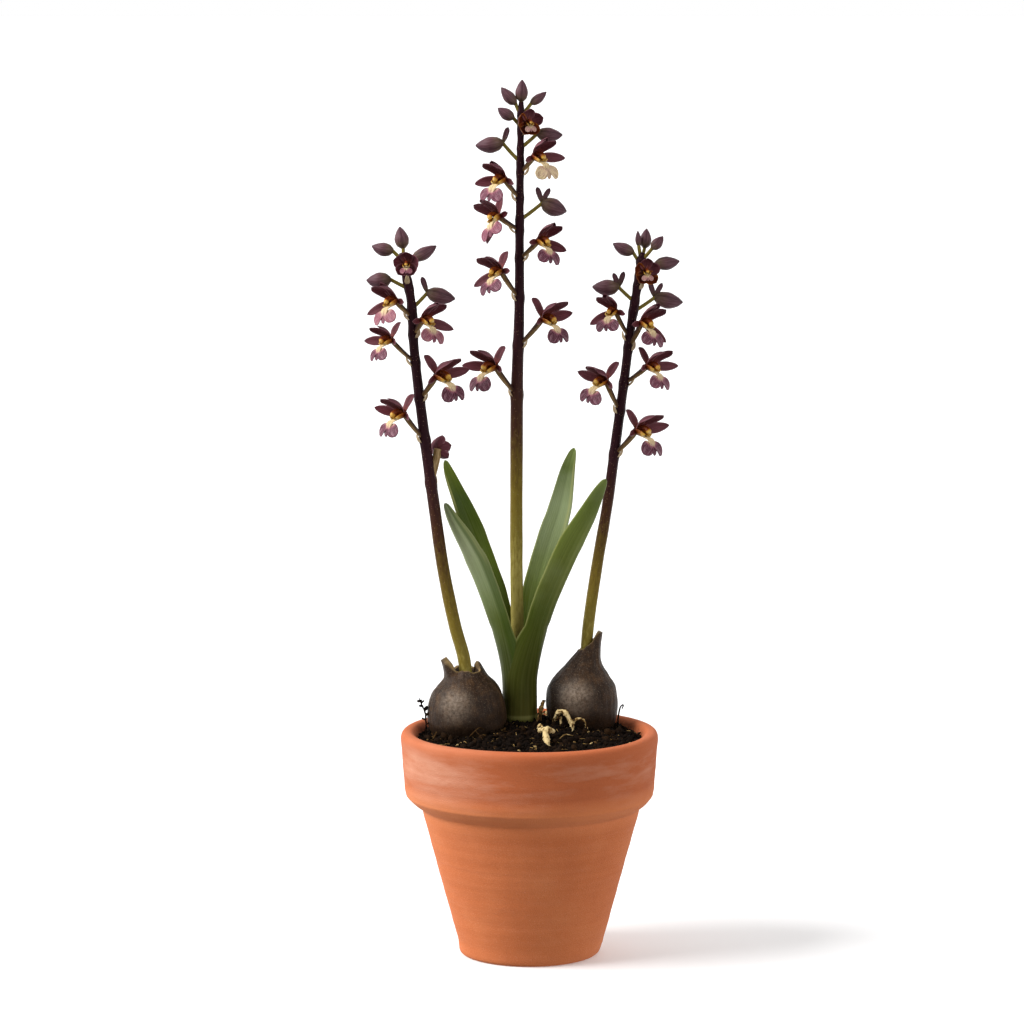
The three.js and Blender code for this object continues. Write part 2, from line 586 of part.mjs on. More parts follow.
addPiece('pot', makePot(), clay);
addPiece('soil', makeSoil(), compost);
for (const name of Object.keys(BULBS)) addPiece(`pseudobulb_${name}`, makeBulb(name), bulbSkin);
for (const name of Object.keys(LEAVES)) addPiece(`leaf_${name}`, makeLeaf(name), leafGreen);
for (const name of Object.keys(STALKS)) addPiece(`flower_stalk_${name}`, makeStalk(name), stalkBrown);
for (const [name, rows] of Object.entries(BLOOMS)) {
  rows.forEach((row, i) => {
    const bloom = named(BLOOM_FIELDS, row);
    addPiece(`bloom_${name}_${i + 1}`, makeBloom(name, bloom), petalPurple);
    addPiece(`lip_${name}_${i + 1}`, makeLip(name, bloom), lipCream);
  });
}

export default plant;
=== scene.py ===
# %% [markdown]
# This notebook dresses a potted marsh orchid: a thrown clay pot of compost, two swollen stem bases, a fan of
# strap leaves and three stalks of purple-brown flowers. The solid model of the plant is loaded first, as the
# frame. Each part of it is then remade as a finer surface in the same place, with a finish of its own.

import bpy
import numpy as np
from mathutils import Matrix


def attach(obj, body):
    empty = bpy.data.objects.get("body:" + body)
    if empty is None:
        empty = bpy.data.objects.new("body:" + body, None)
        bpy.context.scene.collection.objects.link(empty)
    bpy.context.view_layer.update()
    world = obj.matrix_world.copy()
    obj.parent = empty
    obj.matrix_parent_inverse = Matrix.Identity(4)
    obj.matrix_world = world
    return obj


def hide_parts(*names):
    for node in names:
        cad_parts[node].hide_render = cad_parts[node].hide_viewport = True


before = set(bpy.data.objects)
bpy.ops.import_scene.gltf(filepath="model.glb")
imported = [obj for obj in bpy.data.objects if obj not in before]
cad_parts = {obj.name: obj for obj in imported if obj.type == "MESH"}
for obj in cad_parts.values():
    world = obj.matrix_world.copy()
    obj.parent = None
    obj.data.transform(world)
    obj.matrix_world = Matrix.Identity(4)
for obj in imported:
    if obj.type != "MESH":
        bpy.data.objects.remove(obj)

scene = bpy.context.scene
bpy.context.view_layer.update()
print("The frame has", len(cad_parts), "nodes")

# %% [markdown]
# A plant is easier to measure in millimetres, while Blender works in metres. So every shape below is worked
# out in millimetres, and one number turns it into metres when its mesh is made. A plant is never quite even,
# so small random changes are drawn too, always from a numbered seed: the same plant grows every time.

# %% Units and random draws
MM = 0.001


def draws(seed):
    """A source of random numbers that always gives the same ones for the same seed."""
    return np.random.default_rng(seed)


def unit(vectors):
    """Each vector divided by its own length."""
    return vectors / np.maximum(np.linalg.norm(vectors, axis=-1, keepdims=True), 1e-9)


print("One millimetre is", MM, "units")

# %% [markdown]
# Stalks, leaves and roots all follow a smooth line through a few points. Blender's curves could do this, but
# a short formula keeps the line as an array, so that a leaf or a flower can be set on it. The line is cut
# into equal steps, and the same formula also reads a smooth outline from a few widths.

# %% Smooth lines
def smooth_line(points, count):
    """Evenly spaced points on a smooth curve through the points given. Each span is a cubic between its two
    points. The slope at a point comes from the steps on both sides of it, each timed by the square root of
    its length, and the ends carry on as they came."""
    p = np.asarray(points, float)
    p = np.vstack([2 * p[0] - p[1], p, 2 * p[-1] - p[-2]])
    time = np.sqrt(np.linalg.norm(np.diff(p, axis=0), axis=1))[:, None]
    before, after = (p[1:-1] - p[:-2]) / time[:-1], (p[2:] - p[1:-1]) / time[1:]
    slope = before + after - (p[2:] - p[:-2]) / (time[:-1] + time[1:])
    t = np.linspace(0, 1, 32, endpoint=False)[None, :, None]
    start, stop, span = p[1:-2, None], p[2:-1, None], time[1:-1, None]
    fine = ((2 * t**3 - 3 * t**2 + 1) * start + (t**3 - 2 * t**2 + t) * span * slope[:-1, None]
            + (3 * t**2 - 2 * t**3) * stop + (t**3 - t**2) * span * slope[1:, None])
    fine = np.vstack([fine.reshape(-1, p.shape[1]), p[-2]])
    length = np.append(0, np.cumsum(np.linalg.norm(np.diff(fine, axis=0), axis=1)))
    places = np.linspace(0, length[-1], count)
    return np.stack([np.interp(places, length, axis) for axis in fine.T], axis=1)


def read_curve(pairs, places):
    """The value of a smooth curve through [place, value] pairs at each of the places given."""
    line = smooth_line(pairs, 240)
    return np.interp(places, line[:, 0], line[:, 1])


def ripple(points, spacing, seed, waves=10):
    """Smooth random relief, mostly between -1 and 1, at an array of points. It is the sum of sine waves in
    random directions, each about as long as the spacing."""
    draw = draws(seed)
    rate = 2 * np.pi / spacing * draw.uniform(0.6, 1.5, (waves, 1))
    heading = unit(draw.normal(size=(waves, 3))) * rate
    heights = np.sin(points @ heading.T + draw.uniform(0, 2 * np.pi, waves))
    return heights.sum(axis=-1) * np.sqrt(2 / waves) / 2


print("A line through 3 points:", smooth_line([[0, 0], [1, 1], [2, 0]], 5).round(2).tolist())

# %% [markdown]
# Every grown thing here is a skin that closes on itself: a stalk is a round skin, and a leaf is a round skin
# pressed flat. Blender can make these from curves with a bevel, but then the width, the ribs and the fold
# can't change freely along them. So each skin is a grid of points, with rows along the thing and columns
# round it, that is sewn up into faces. The grid also gives each corner its place along and round the skin,
# which the finishes use to draw veins and fibres that follow the growth.

# %% Skins
def skin(grid, paint, tone=0.0, loop=False):
    """Sews a grid of points, in rows and columns, into a closed surface. The last column joins the first,
    and a point in the middle of each end row closes the ends, unless loop joins the last row to the first.
    Paint is the number of the material, and tone is a number for each point that the material may read."""
    rows, columns = grid.shape[:2]
    i, k = np.indices((rows if loop else rows - 1, columns)).reshape(2, -1)
    over, up = (k + 1) % columns, (i + 1) % rows
    quads = np.stack([i * columns + k, i * columns + over, up * columns + over, up * columns + k], axis=1)
    quad_uv = np.stack([np.stack([k, k + 1, k + 1, k], axis=1) / columns,
                        np.stack([i, i, i + 1, i + 1], axis=1) / (rows - 1)], axis=-1)
    tones = np.broadcast_to(np.asarray(tone, float), (rows, columns))
    points, fans, fan_uv = grid.reshape(-1, 3), np.zeros((0, 3), int), np.zeros((0, 3, 2))
    if not loop:
        k, count = np.arange(columns), rows * columns
        last = count - columns
        foot = np.stack([(k + 1) % columns, k, np.full(columns, count)], axis=1)
        head = np.stack([last + k, last + (k + 1) % columns, np.full(columns, count + 1)], axis=1)
        points = np.vstack([points, grid[0].mean(axis=0), grid[-1].mean(axis=0)])
        fans = np.vstack([foot, head])
        round_foot = np.stack([k + 1, k, k + 0.5], axis=1) / columns
        round_head = np.stack([k, k + 1, k + 0.5], axis=1) / columns
        fan_uv = np.stack([np.vstack([round_foot, round_head]), np.repeat([0.0, 1.0], columns)[:, None]
                           * np.ones(3)], axis=-1)
    ends = [] if loop else [tones[0].mean(), tones[-1].mean()]
    made = {"points": points, "quads": quads, "fans": fans, "quad_uv": quad_uv, "fan_uv": fan_uv,
            "tone": np.append(tones.ravel(), ends), "paint": paint}
    return turned_out(made)


def turned_out(made):
    """The same surface with its faces outwards: if the volume that they enclose comes out negative, the
    corners of every face are put in the opposite order."""
    corners = np.vstack([made["quads"][:, :3], made["quads"][:, [0, 2, 3]], made["fans"]])
    a, b, c = made["points"][corners].transpose(1, 0, 2)
    if np.einsum("ij,ij->", a, np.cross(b, c)) < 0:
        for key in ("quads", "fans", "quad_uv", "fan_uv"):
            made[key] = made[key][:, ::-1]
    return made


def tube(line, radius, sides):
    """A grid of rings round a line. The radius is one number, one for each row, or one for each row and
    column. Each ring is square to the line, and its first point lies to the same side all along."""
    line = np.asarray(line, float)
    forward = unit(np.gradient(line, axis=0))
    steady = np.eye(3)[np.abs(forward.mean(axis=0)).argmin()]
    side = unit(np.cross(steady, forward))
    up = np.cross(forward, side)
    turn = 2 * np.pi * np.arange(sides) / sides
    ring = np.cos(turn)[:, None] * side[:, None] + np.sin(turn)[:, None] * up[:, None]
    radius = np.asarray(radius, float)
    radius = np.broadcast_to(radius[:, None] if radius.ndim == 1 else radius, (len(line), sides))
    return line[:, None] + radius[..., None] * ring


print("A square rod has", len(skin(tube([[0, 0, 0], [0, 0, 1]], 1.0, 4), 0)["quads"]), "sides")

# %% [markdown]
# Several skins make one piece, as the petals, the column and the stem of a flower do. They are put into one
# mesh here, each with its own material. The points are turned into metres, and the object stays at the
# origin, because the frame's own parts do. The same function fastens the piece to the plant and hides the
# plain solid that it stands for.

# %% Pieces
totals = {"pieces": 0, "triangles": 0}


def add_piece(name, skins, materials, node=None):
    """One object made of several closed skins. All their points, faces, places and tones are strung
    together, and the corner numbers of each skin are raised by the number of points before it."""
    starts = np.cumsum([0] + [len(s["points"]) for s in skins])
    corners = np.concatenate([c for s, at in zip(skins, starts) for c in (
        (s["quads"] + at).ravel(), (s["fans"] + at).ravel())])
    sizes = np.concatenate([np.full(len(s[key]), sides) for s in skins
                            for key, sides in (("quads", 4), ("fans", 3))])
    paints = np.concatenate([np.full(len(s["quads"]) + len(s["fans"]), s["paint"]) for s in skins])
    places = np.concatenate([uv.reshape(-1, 2) for s in skins for uv in (s["quad_uv"], s["fan_uv"])])
    mesh = bpy.data.meshes.new(name)
    mesh.vertices.add(starts[-1])
    mesh.vertices.foreach_set("co", np.vstack([s["points"] for s in skins]).ravel() * MM)
    mesh.loops.add(len(corners))
    mesh.loops.foreach_set("vertex_index", corners)
    mesh.polygons.add(len(sizes))
    mesh.polygons.foreach_set("loop_start", np.append(0, np.cumsum(sizes)[:-1]))
    mesh.polygons.foreach_set("material_index", paints)
    mesh.update(calc_edges=True)
    mesh.uv_layers.new(name="Growth").uv.foreach_set("vector", places.ravel())
    tone = mesh.attributes.new("tone", "FLOAT", "POINT")
    tone.data.foreach_set("value", np.concatenate([s["tone"] for s in skins]))
    mesh.shade_smooth()
    for made in materials:
        mesh.materials.append(made)
    piece = bpy.data.objects.new(name, mesh)
    scene.collection.objects.link(piece)
    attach(piece, "root")
    if node:
        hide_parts(node)
    totals["pieces"] += 1
    totals["triangles"] += int((sizes - 2).sum())
    return piece


print("Before the first piece, the totals are", totals)

# %% [markdown]
# A finish is a small tree of nodes. One function adds a node: it sets its properties, and puts a number, a
# colour or another node's output into each of its sockets. Colours are written as the hex codes of a screen,
# and one function turns them into the linear light that a shader needs.

# %% Nodes and colours
def linear(code):
    """The linear light of a screen colour. Each of its three parts is divided by 255, and then by 12.92
    where it is very dark, or else raised to the power 2.4 after the standard shift."""
    screen = np.array([int(code[at:at + 2], 16) for at in (1, 3, 5)]) / 255
    light = np.where(screen <= 0.04045, screen / 12.92, ((screen + 0.055) / 1.055) ** 2.4)
    return (*light.tolist(), 1.0)


def node(tree, kind, sockets=None, stops=(), **settings):
    """Adds a node of a kind. Sockets maps a socket's name or number to a value or to an output that feeds
    it, and stops are the places and hex colours of a colour ramp."""
    made = tree.nodes.new("ShaderNode" + kind)
    for key, value in settings.items():
        setattr(made, key, value)
    for key, value in (sockets or {}).items():
        if isinstance(value, bpy.types.NodeSocket):
            tree.links.new(value, made.inputs[key])
        else:
            made.inputs[key].default_value = value
    for number, (place, code) in enumerate(stops):
        stop = made.color_ramp.elements[number] if number < 2 else made.color_ramp.elements.new(place)
        stop.position, stop.color = place, linear(code)
    return made


def new_finish(name):
    """A material with an empty tree of nodes, and the coordinates that its patterns read."""
    made = bpy.data.materials.new(name)
    made.use_nodes = True
    made.node_tree.nodes.clear()
    place = node(made.node_tree, "TexCoord").outputs["Object"]
    growth = node(made.node_tree, "UVMap", uv_map="Growth").outputs["UV"]
    tone = node(made.node_tree, "Attribute", attribute_name="tone").outputs["Fac"]
    return made, made.node_tree, place, growth, tone


def close_finish(tree, colour, roughness, relief, depth, shine=0.15):
    """Ends a finish: relief is a height from 0 to 1, depth is what a height of 1 is in millimetres, and
    shine is how strongly the surface mirrors, where 0.5 would be varnish."""
    bump = node(tree, "Bump", {"Height": relief, "Strength": 1.0, "Distance": depth * MM})
    shader = node(tree, "BsdfPrincipled", {"Base Color": colour, "Roughness": roughness,
                                           "Specular IOR Level": shine,
                                           "Normal": bump.outputs["Normal"]})
    node(tree, "OutputMaterial", {"Surface": shader.outputs["BSDF"]})


def per_mm(size):
    """The scale of a pattern whose grain is so many millimetres."""
    return 1 / (size * MM)


print("Mid grey in linear light:", round(linear("#808080")[0], 3))

# %% [markdown]
# The pot is terracotta: red clay thrown on a wheel and fired without glaze. The potter's fingers leave level
# rings, the clay has fine sand in it, and salts from the water dry as a pale bloom on the rim. Just under
# the rim band the clay is painted lighter, which is painted light that fills the band's shadow on the wall.
# The band itself is a little darker, partly its own browner clay and partly painted shade, and the inside is
# dirty from the compost. Paint could show all this, but patterns worked out in space have no seam. Stretched
# noise makes the rings, fine noise the sand, and a broad one the bloom. Fired clay has no shine, so it is
# very rough.

# %% Terracotta
RING_HEIGHT = 1.6        # mm, from one finger ring to the next
SAND_GRAIN = 0.45        # mm
BLOOM_PATCH = 22         # mm across a patch of dried salts
CLOUD_WIDTH = 30         # mm across a patch where the clay is a little redder or paler
DIRT_GRAIN = 2.2         # mm
# Heights in metres for painted light under the band, the band's partly painted shade, salts, and the wiped
# top
UNDER_BAND_LIGHT_HEIGHTS, BAND_TONE_AND_SHADE_HEIGHTS = (0.068, 0.0745), (0.082, 0.09)
SALT_HEIGHTS, WIPED_HEIGHTS = (0.08, 0.098), (0.105, 0.111)
# The middle of the driest patch of salts, and the distances from it, in metres, over which it fades
DRIEST_SPOT, DRIEST_REACH = (-0.048, -0.035, 0.101), (0.01, 0.045)


def make_terracotta():
    made, tree, place, _, tone = new_finish("Terracotta, thrown and fired unglazed")
    level = node(tree, "Mapping", {"Vector": place, "Scale": (9, 9, per_mm(RING_HEIGHT))})
    rings = node(tree, "TexNoise", {"Vector": level.outputs[0], "Scale": 1.0, "Detail": 3.0})
    sand = node(tree, "TexNoise", {"Vector": place, "Scale": per_mm(SAND_GRAIN), "Detail": 2.0})
    cloud = node(tree, "TexNoise", {"Vector": place, "Scale": per_mm(CLOUD_WIDTH), "Detail": 5.0,
                                    "Roughness": 0.6})
    body = node(tree, "ValToRGB", {"Fac": cloud.outputs["Fac"]},
                stops=[(0.3, "#C66A3A"), (0.7, "#D97F4D"), (0.5, "#D07342")])
    streaks = node(tree, "ValToRGB", {"Fac": rings.outputs["Fac"]},
                   stops=[(0.3, "#C2683A"), (0.7, "#DE8A5A")])
    ringed = node(tree, "Mix", {"Factor": 0.14, 6: body.outputs[0], 7: streaks.outputs[0]}, data_type="RGBA")
    speck = node(tree, "ValToRGB", {"Fac": sand.outputs["Fac"]},
                 stops=[(0.3, "#9A5230"), (0.72, "#ECB08C"), (0.42, "#CC7446"), (0.6, "#CC7446")])
    grainy = node(tree, "Mix", {"Factor": 0.3, 6: ringed.outputs[2], 7: speck.outputs[0]}, data_type="RGBA")
    height = node(tree, "SeparateXYZ", {"Vector": place})
    # Painted light: a lighter ring of clay just under the band fills the band's shadow on the wall.
    under_band_light = node(tree, "MapRange", {"Value": height.outputs["Z"], "From Min": UNDER_BAND_LIGHT_HEIGHTS[0],
                                    "From Max": UNDER_BAND_LIGHT_HEIGHTS[1], "To Min": 0.0, "To Max": 0.3})
    # The band is darkened against the body, partly its own browner clay and partly painted shade.
    dull = node(tree, "MapRange", {"Value": height.outputs["Z"], "From Min": BAND_TONE_AND_SHADE_HEIGHTS[0],
                                   "From Max": BAND_TONE_AND_SHADE_HEIGHTS[1]})
    lit_under_band = node(tree, "Mix", {"Factor": under_band_light.outputs[0], 6: grainy.outputs[2], 7: linear("#EE9460")},
                   data_type="RGBA")
    duller = node(tree, "Mix", {"Factor": dull.outputs[0], 6: lit_under_band.outputs[2], 7: linear("#DCCBC6")},
                  data_type="RGBA", blend_type="MULTIPLY")
    drift = node(tree, "Mapping", {"Vector": place, "Scale": (0.7, 0.7, 3.4),
                                   "Location": (0.013, 0.002, 0.004)})
    salts = node(tree, "TexNoise", {"Vector": drift.outputs[0], "Scale": per_mm(BLOOM_PATCH), "Detail": 6.0,
                                    "Roughness": 0.65})
    above = node(tree, "MapRange", {"Value": height.outputs["Z"], "From Min": SALT_HEIGHTS[0],
                                    "From Max": SALT_HEIGHTS[1], "To Min": 0.12, "To Max": 1.0})
    wiped = node(tree, "MapRange", {"Value": height.outputs["Z"], "From Min": WIPED_HEIGHTS[0],
                                    "From Max": WIPED_HEIGHTS[1], "To Min": 1.0, "To Max": 0.25})
    rim = node(tree, "Math", {0: above.outputs[0], 1: wiped.outputs[0]}, operation="MULTIPLY")
    near = node(tree, "VectorMath", {0: place, 1: DRIEST_SPOT}, operation="DISTANCE")
    dried = node(tree, "MapRange", {"Value": near.outputs["Value"], "From Min": DRIEST_REACH[0],
                                    "From Max": DRIEST_REACH[1], "To Min": 0.33, "To Max": 0.0})
    salty = node(tree, "Math", {0: salts.outputs["Fac"], 1: dried.outputs[0]}, operation="ADD")
    patch = node(tree, "MapRange", {"Value": salty.outputs[0], "From Min": 0.46, "From Max": 0.92,
                                    "To Min": 0.0, "To Max": 0.55})
    bloom = node(tree, "Math", {0: patch.outputs[0], 1: rim.outputs[0]}, operation="MULTIPLY")
    pale = node(tree, "Mix", {"Factor": bloom.outputs[0], 6: duller.outputs[2], 7: linear("#E3AE93")},
                data_type="RGBA")
    dirt = node(tree, "TexNoise", {"Vector": place, "Scale": per_mm(DIRT_GRAIN), "Detail": 4.0,
                                   "Roughness": 0.7})
    specks = node(tree, "MapRange", {"Value": dirt.outputs["Fac"], "From Min": 0.46, "From Max": 0.6,
                                     "To Min": 0.2, "To Max": 1.0})
    damp = node(tree, "Math", {0: tone, 1: specks.outputs[0]}, operation="MULTIPLY")
    stained = node(tree, "Mix", {"Factor": damp.outputs[0], 6: pale.outputs[2], 7: linear("#3E2A1A")},
                   data_type="RGBA")
    relief = node(tree, "Mix", {"Factor": 0.72, 2: rings.outputs["Fac"], 3: sand.outputs["Fac"]})
    close_finish(tree, stained.outputs[2], 0.85, relief.outputs[0], 0.3, shine=0.25)
    return made


terracotta = make_terracotta()
print("Made", terracotta.name)

# %% [markdown]
# The pot's outline is carried round its axis. A lathe, Blender's Screw modifier, would give a perfect
# turning, but a thrown pot is a little uneven, so the outline becomes a grid of points that can be nudged:
# the walls swell and shrink by a few tenths of a millimetre in soft rings, and the rim is neither quite
# round nor quite level. The foot stays flat, because the pot stands on it, and its drainage hole is open.

# %% Pot
POT_HEIGHT, RIM_RADIUS, MOUTH_RADIUS, FOOT_RADIUS, LIP_ROUND = 114, 65, 58.5, 35.6, 3.5
BAND_RADIUS, BAND_FOOT, BAND_CORNER, NECK = 63.2, 85, (62.3, 79.5), (55.7, 75.6)
FLOOR, FLOOR_RADIUS, FLOOR_CHAMFER, FOOT_CHAMFER, DRAIN_RADIUS = 8, 30, 3, 2.6, 8
BODY_DRIFT = 0.7         # how far the body stands off the axis of the rim, towards +X
RIM_WAVE = 0.15          # how far the rim goes up and down round the pot
DIRTY_SHARE = 0.62       # how dirty the inside of the wall is


def wall_radius(height):
    """Radius of the pot's inside, which widens evenly from the floor to the mouth."""
    return FLOOR_RADIUS + (MOUTH_RADIUS - FLOOR_RADIUS) * (height - FLOOR) / (POT_HEIGHT - FLOOR)


def bend_between(start, corner, stop, count=9):
    """Points on the curve that leaves the start towards the corner and reaches the stop from it."""
    t = np.linspace(0, 1, count)[:, None]
    return (1 - t)**2 * np.array(start) + 2 * t * (1 - t) * np.array(corner) + t**2 * np.array(stop)


def pot_outline():
    """The outline as (radius, height) points: out along the foot, up the wall, under and up the band, over
    the round lip, down the inside and along the floor to the drainage hole."""
    inner_lip = [wall_radius(POT_HEIGHT - LIP_ROUND), POT_HEIGHT - LIP_ROUND]
    return np.vstack([
        np.linspace([DRAIN_RADIUS, 0], [FOOT_RADIUS - FOOT_CHAMFER, 0], 8),
        bend_between([FOOT_RADIUS - FOOT_CHAMFER, 0], [FOOT_RADIUS - 0.1, 0], [FOOT_RADIUS + 0.5, 2.8], 7),
        np.linspace([FOOT_RADIUS + 0.8, 3.8], [NECK[0] - 0.6, NECK[1] - 1.8], 60),
        bend_between([NECK[0] - 0.4, NECK[1] - 0.8], NECK, [NECK[0] + 0.9, NECK[1] + 0.4], 5),
        bend_between([NECK[0] + 1.4, NECK[1] + 0.8], BAND_CORNER, [BAND_RADIUS, BAND_FOOT], 16),
        np.linspace([BAND_RADIUS, BAND_FOOT + 1], [RIM_RADIUS, POT_HEIGHT - LIP_ROUND - 0.5], 26),
        bend_between([RIM_RADIUS, POT_HEIGHT - LIP_ROUND], [RIM_RADIUS, POT_HEIGHT],
                     [RIM_RADIUS - LIP_ROUND, POT_HEIGHT]),
        bend_between([RIM_RADIUS - LIP_ROUND - 0.4, POT_HEIGHT], [MOUTH_RADIUS, POT_HEIGHT], inner_lip),
        np.linspace([wall_radius(108), 108],
                    [wall_radius(FLOOR + FLOOR_CHAMFER), FLOOR + FLOOR_CHAMFER], 30),
        np.linspace([FLOOR_RADIUS - FLOOR_CHAMFER, FLOOR], [DRAIN_RADIUS, FLOOR], 6),
    ])


def make_pot():
    """Each point of the outline turns about the axis. Its radius changes by low rings, by a bead under the
    band, and by two waves that run round the pot. None of these reach the foot. The rim rises and falls
    three times on its way round. Wherever a trace of that wave is left, the wall is lowered by the wave's
    height, so that no point stands above the pot's height. The tone is the dirt on the inside."""
    outline, sides = pot_outline(), 160
    turn = 2 * np.pi * np.arange(sides) / sides
    radius, height = outline[:, :1], outline[:, 1:]
    rings = 0.05 * np.sin(height / 2.1) + 0.03 * np.sin(height / 0.9 + 2 * np.sin(height / 7))
    bead = 0.3 * np.exp(-((height - BAND_FOOT + 3.6) / 0.9) ** 2) * (radius > 59)
    swell = rings + bead + 0.2 * np.sin(2 * turn + height / 60) + 0.05 * np.sin(5 * turn + height / 9)
    off_foot = np.clip(height / 6, 0, 1)
    body = off_foot * np.clip((radius - 12) / 10, 0, 1)
    wave = RIM_WAVE * np.exp(-((height - POT_HEIGHT) / 3) ** 2) * np.sin(3 * turn + 1)
    reach = radius + swell * body - 0.45 * body
    drift = BODY_DRIFT * off_foot * np.clip((82 - height) / 8, 0, 1)
    grid = np.stack([reach * np.cos(turn) + drift, reach * np.sin(turn),
                     height + wave - RIM_WAVE * (wave != 0)], axis=-1)
    inside = (radius < wall_radius(height) + 1.5) & (height > FLOOR + 1)
    tone = DIRTY_SHARE * inside * np.clip((POT_HEIGHT - 0.5 - height) / 4, 0, 1) * np.ones(sides)
    return add_piece("clay_pot", [skin(grid, 0, tone, loop=True)], [terracotta], "pot")


pot = make_pot()
print("The pot is", round(pot.dimensions.z / MM, 1), "mm tall")

# %% [markdown]
# Orchid compost is peat with bits of bark and fibre. It is nearly black when damp, with a few lighter
# crumbs, and so rough that it hardly shines. One finish serves the bed, the crumbs and the fibres. Each
# crumb carries a tone of its own, and the finish turns that into a shade from black peat to dry bark.

# %% Compost finish
PEAT_GRIT = 0.9          # mm


def make_peat():
    made, tree, place, _, tone = new_finish("Compost of peat, bark and fibre, damp")
    grit = node(tree, "TexNoise", {"Vector": place, "Scale": per_mm(PEAT_GRIT), "Detail": 6.0,
                                   "Roughness": 0.7})
    shade = node(tree, "MapRange", {"Value": grit.outputs["Fac"], "From Min": 0.3, "From Max": 0.75,
                                    "To Min": -0.15, "To Max": 0.15})
    level = node(tree, "Math", {0: tone, 1: shade.outputs[0]}, operation="ADD")
    colour = node(tree, "ValToRGB", {"Fac": level.outputs[0]},
                  stops=[(0.0, "#0A0604"), (1.0, "#D8C08C"), (0.25, "#190F08"), (0.5, "#33210F"),
                         (0.72, "#5E4526"), (0.88, "#9C7E4C")])
    close_finish(tree, colour.outputs[0], 0.9, grit.outputs["Fac"], 0.5, shine=0.06)
    return made


peat = make_peat()
print("Made", peat.name)

# %% [markdown]
# The bed of compost is a round skin whose top is a low mound with clods, and whose sides and underside fill
# the pot. Sculpting would give clods too, but waves worked out from each point's own place keep the bed even
# in detail everywhere. Crumbs, bark and fibres are then strewn over it by a rule with a fixed seed, because
# a real surface is made of loose bits: without them it would look like carpet.

# %% Compost bed
# Height of the bed at the wall, how far its mound rises above that, and the mound's middle and width
SOIL_EDGE, SOIL_RISE, SOIL_MIDDLE, SOIL_SPREAD = 108.5, 6, (0, 15), 36
CLOD_SPACING = 9
# Each row is the height of a wave, how many times it goes per spacing along X and along Y, and its start
CLOD_WAVES = [[0.4, 1, 0.3, 1.3], [0.35, -0.4, 1, 0.4], [0.25, 1.7, 0.85, 0], [0.2, -0.9, 2.3, 2]]
# Where the two stem bases and the leafy shoot stand
BULB_PLACES = {"left": (-31.6, 12), "right": (27, 27)}
SHOOT = (-5.5, 25)
BULB_CLEARANCE, SHOOT_CLEARANCE = 14.88, 6


def soil_height(x, y):
    """A low bell-shaped mound with crossing waves for clods, and finer waves for crumbs. The waves die out
    against the clay."""
    far = np.hypot(x - SOIL_MIDDLE[0], y - SOIL_MIDDLE[1])
    mound = SOIL_RISE * np.exp(-((far / SOIL_SPREAD) ** 2))
    rate = 2 * np.pi / CLOD_SPACING
    clods = sum(h * np.sin(rate * (a * x + b * y) + c) for h, a, b, c in CLOD_WAVES)
    flat = np.stack([x, y, 0 * x], axis=-1)
    fine = 0.55 * ripple(flat, 4.2, 11, 14) + 0.35 * ripple(flat, 1.9, 12, 14)
    return SOIL_EDGE + mound + clods + fine * np.clip((58 - np.hypot(x, y)) / 3, 0.2, 1)


def make_bed():
    """Rings of points from the middle of the mound out to the wall, and three more that follow the inside of
    the pot down to its floor."""
    sides = 260
    turn = 2 * np.pi * np.arange(sides) / sides
    halfway, low = 60, 12
    edge = wall_radius(SOIL_EDGE) - 0.5
    sunk = [wall_radius(halfway) - 0.5, wall_radius(low) - 0.7, 24]
    radius = np.append(np.linspace(0.5, edge, 96), sunk)[:, None]
    x, y = radius * np.cos(turn), radius * np.sin(turn)
    height = soil_height(x, y)
    height[-3:] = np.array([halfway, low, FLOOR + 0.4])[:, None]
    height[-4] = np.minimum(height[-4], SOIL_EDGE + 0.4)
    tone = 0.16 + 0.06 * ripple(np.stack([x, y, height], axis=-1), 6, 21)
    bed = skin(np.stack([x, y, height], axis=-1), 0, tone)
    return add_piece("compost_bed", [bed], [peat], "soil")


make_bed()
print("The bed is", round(float(soil_height(np.array(0.0), np.array(15.0))), 1), "mm high in the middle")


# %% Lumps
def lumps(centres, sizes, tones, seed):
    """Small angular lumps, each from the twelve corners of an icosahedron, whose places hold the golden
    ratio: every corner is pushed in or out at random, and each lump is stretched and turned its own way."""
    draw = draws(seed)
    g = (1 + 5 ** 0.5) / 2
    corner = unit(np.array([[-1, g, 0], [1, g, 0], [-1, -g, 0], [1, -g, 0], [0, -1, g], [0, 1, g],
                            [0, -1, -g], [0, 1, -g], [g, 0, -1], [g, 0, 1], [-g, 0, -1], [-g, 0, 1]], float))
    faces = np.array([[0, 11, 5], [0, 5, 1], [0, 1, 7], [0, 7, 10], [0, 10, 11], [1, 5, 9], [5, 11, 4],
                      [11, 10, 2], [10, 7, 6], [7, 1, 8], [3, 9, 4], [3, 4, 2], [3, 2, 6], [3, 6, 8],
                      [3, 8, 9], [4, 9, 5], [2, 4, 11], [6, 2, 10], [8, 6, 7], [9, 8, 1]])
    count = len(centres)
    rough = corner * draw.uniform(0.65, 1.25, (count, 12, 1)) * draw.uniform(0.45, 1.3, (count, 1, 3))
    turned = rough @ np.linalg.qr(draw.normal(size=(count, 3, 3)))[0]
    points = (centres[:, None] + turned * sizes[:, None, None]).reshape(-1, 3)
    fans = (faces + 12 * np.arange(count)[:, None, None]).reshape(-1, 3)
    return {"points": points, "quads": np.zeros((0, 4), int), "fans": fans, "quad_uv": np.zeros((0, 4, 2)),
            "fan_uv": np.full((len(fans), 3, 2), 0.5), "tone": np.repeat(tones, 12), "paint": 0}


print("A lump has", len(lumps(np.zeros((1, 3)), np.ones(1), np.zeros(1), 0)["fans"]), "faces")

# %% Places for the bits
# How far from the pot's axis the bits may lie: their middles, the edge of a lump, and the end of a fibre
STREWN_REACH, LUMP_REACH, FIBRE_REACH = 56.5, 57.2, 56


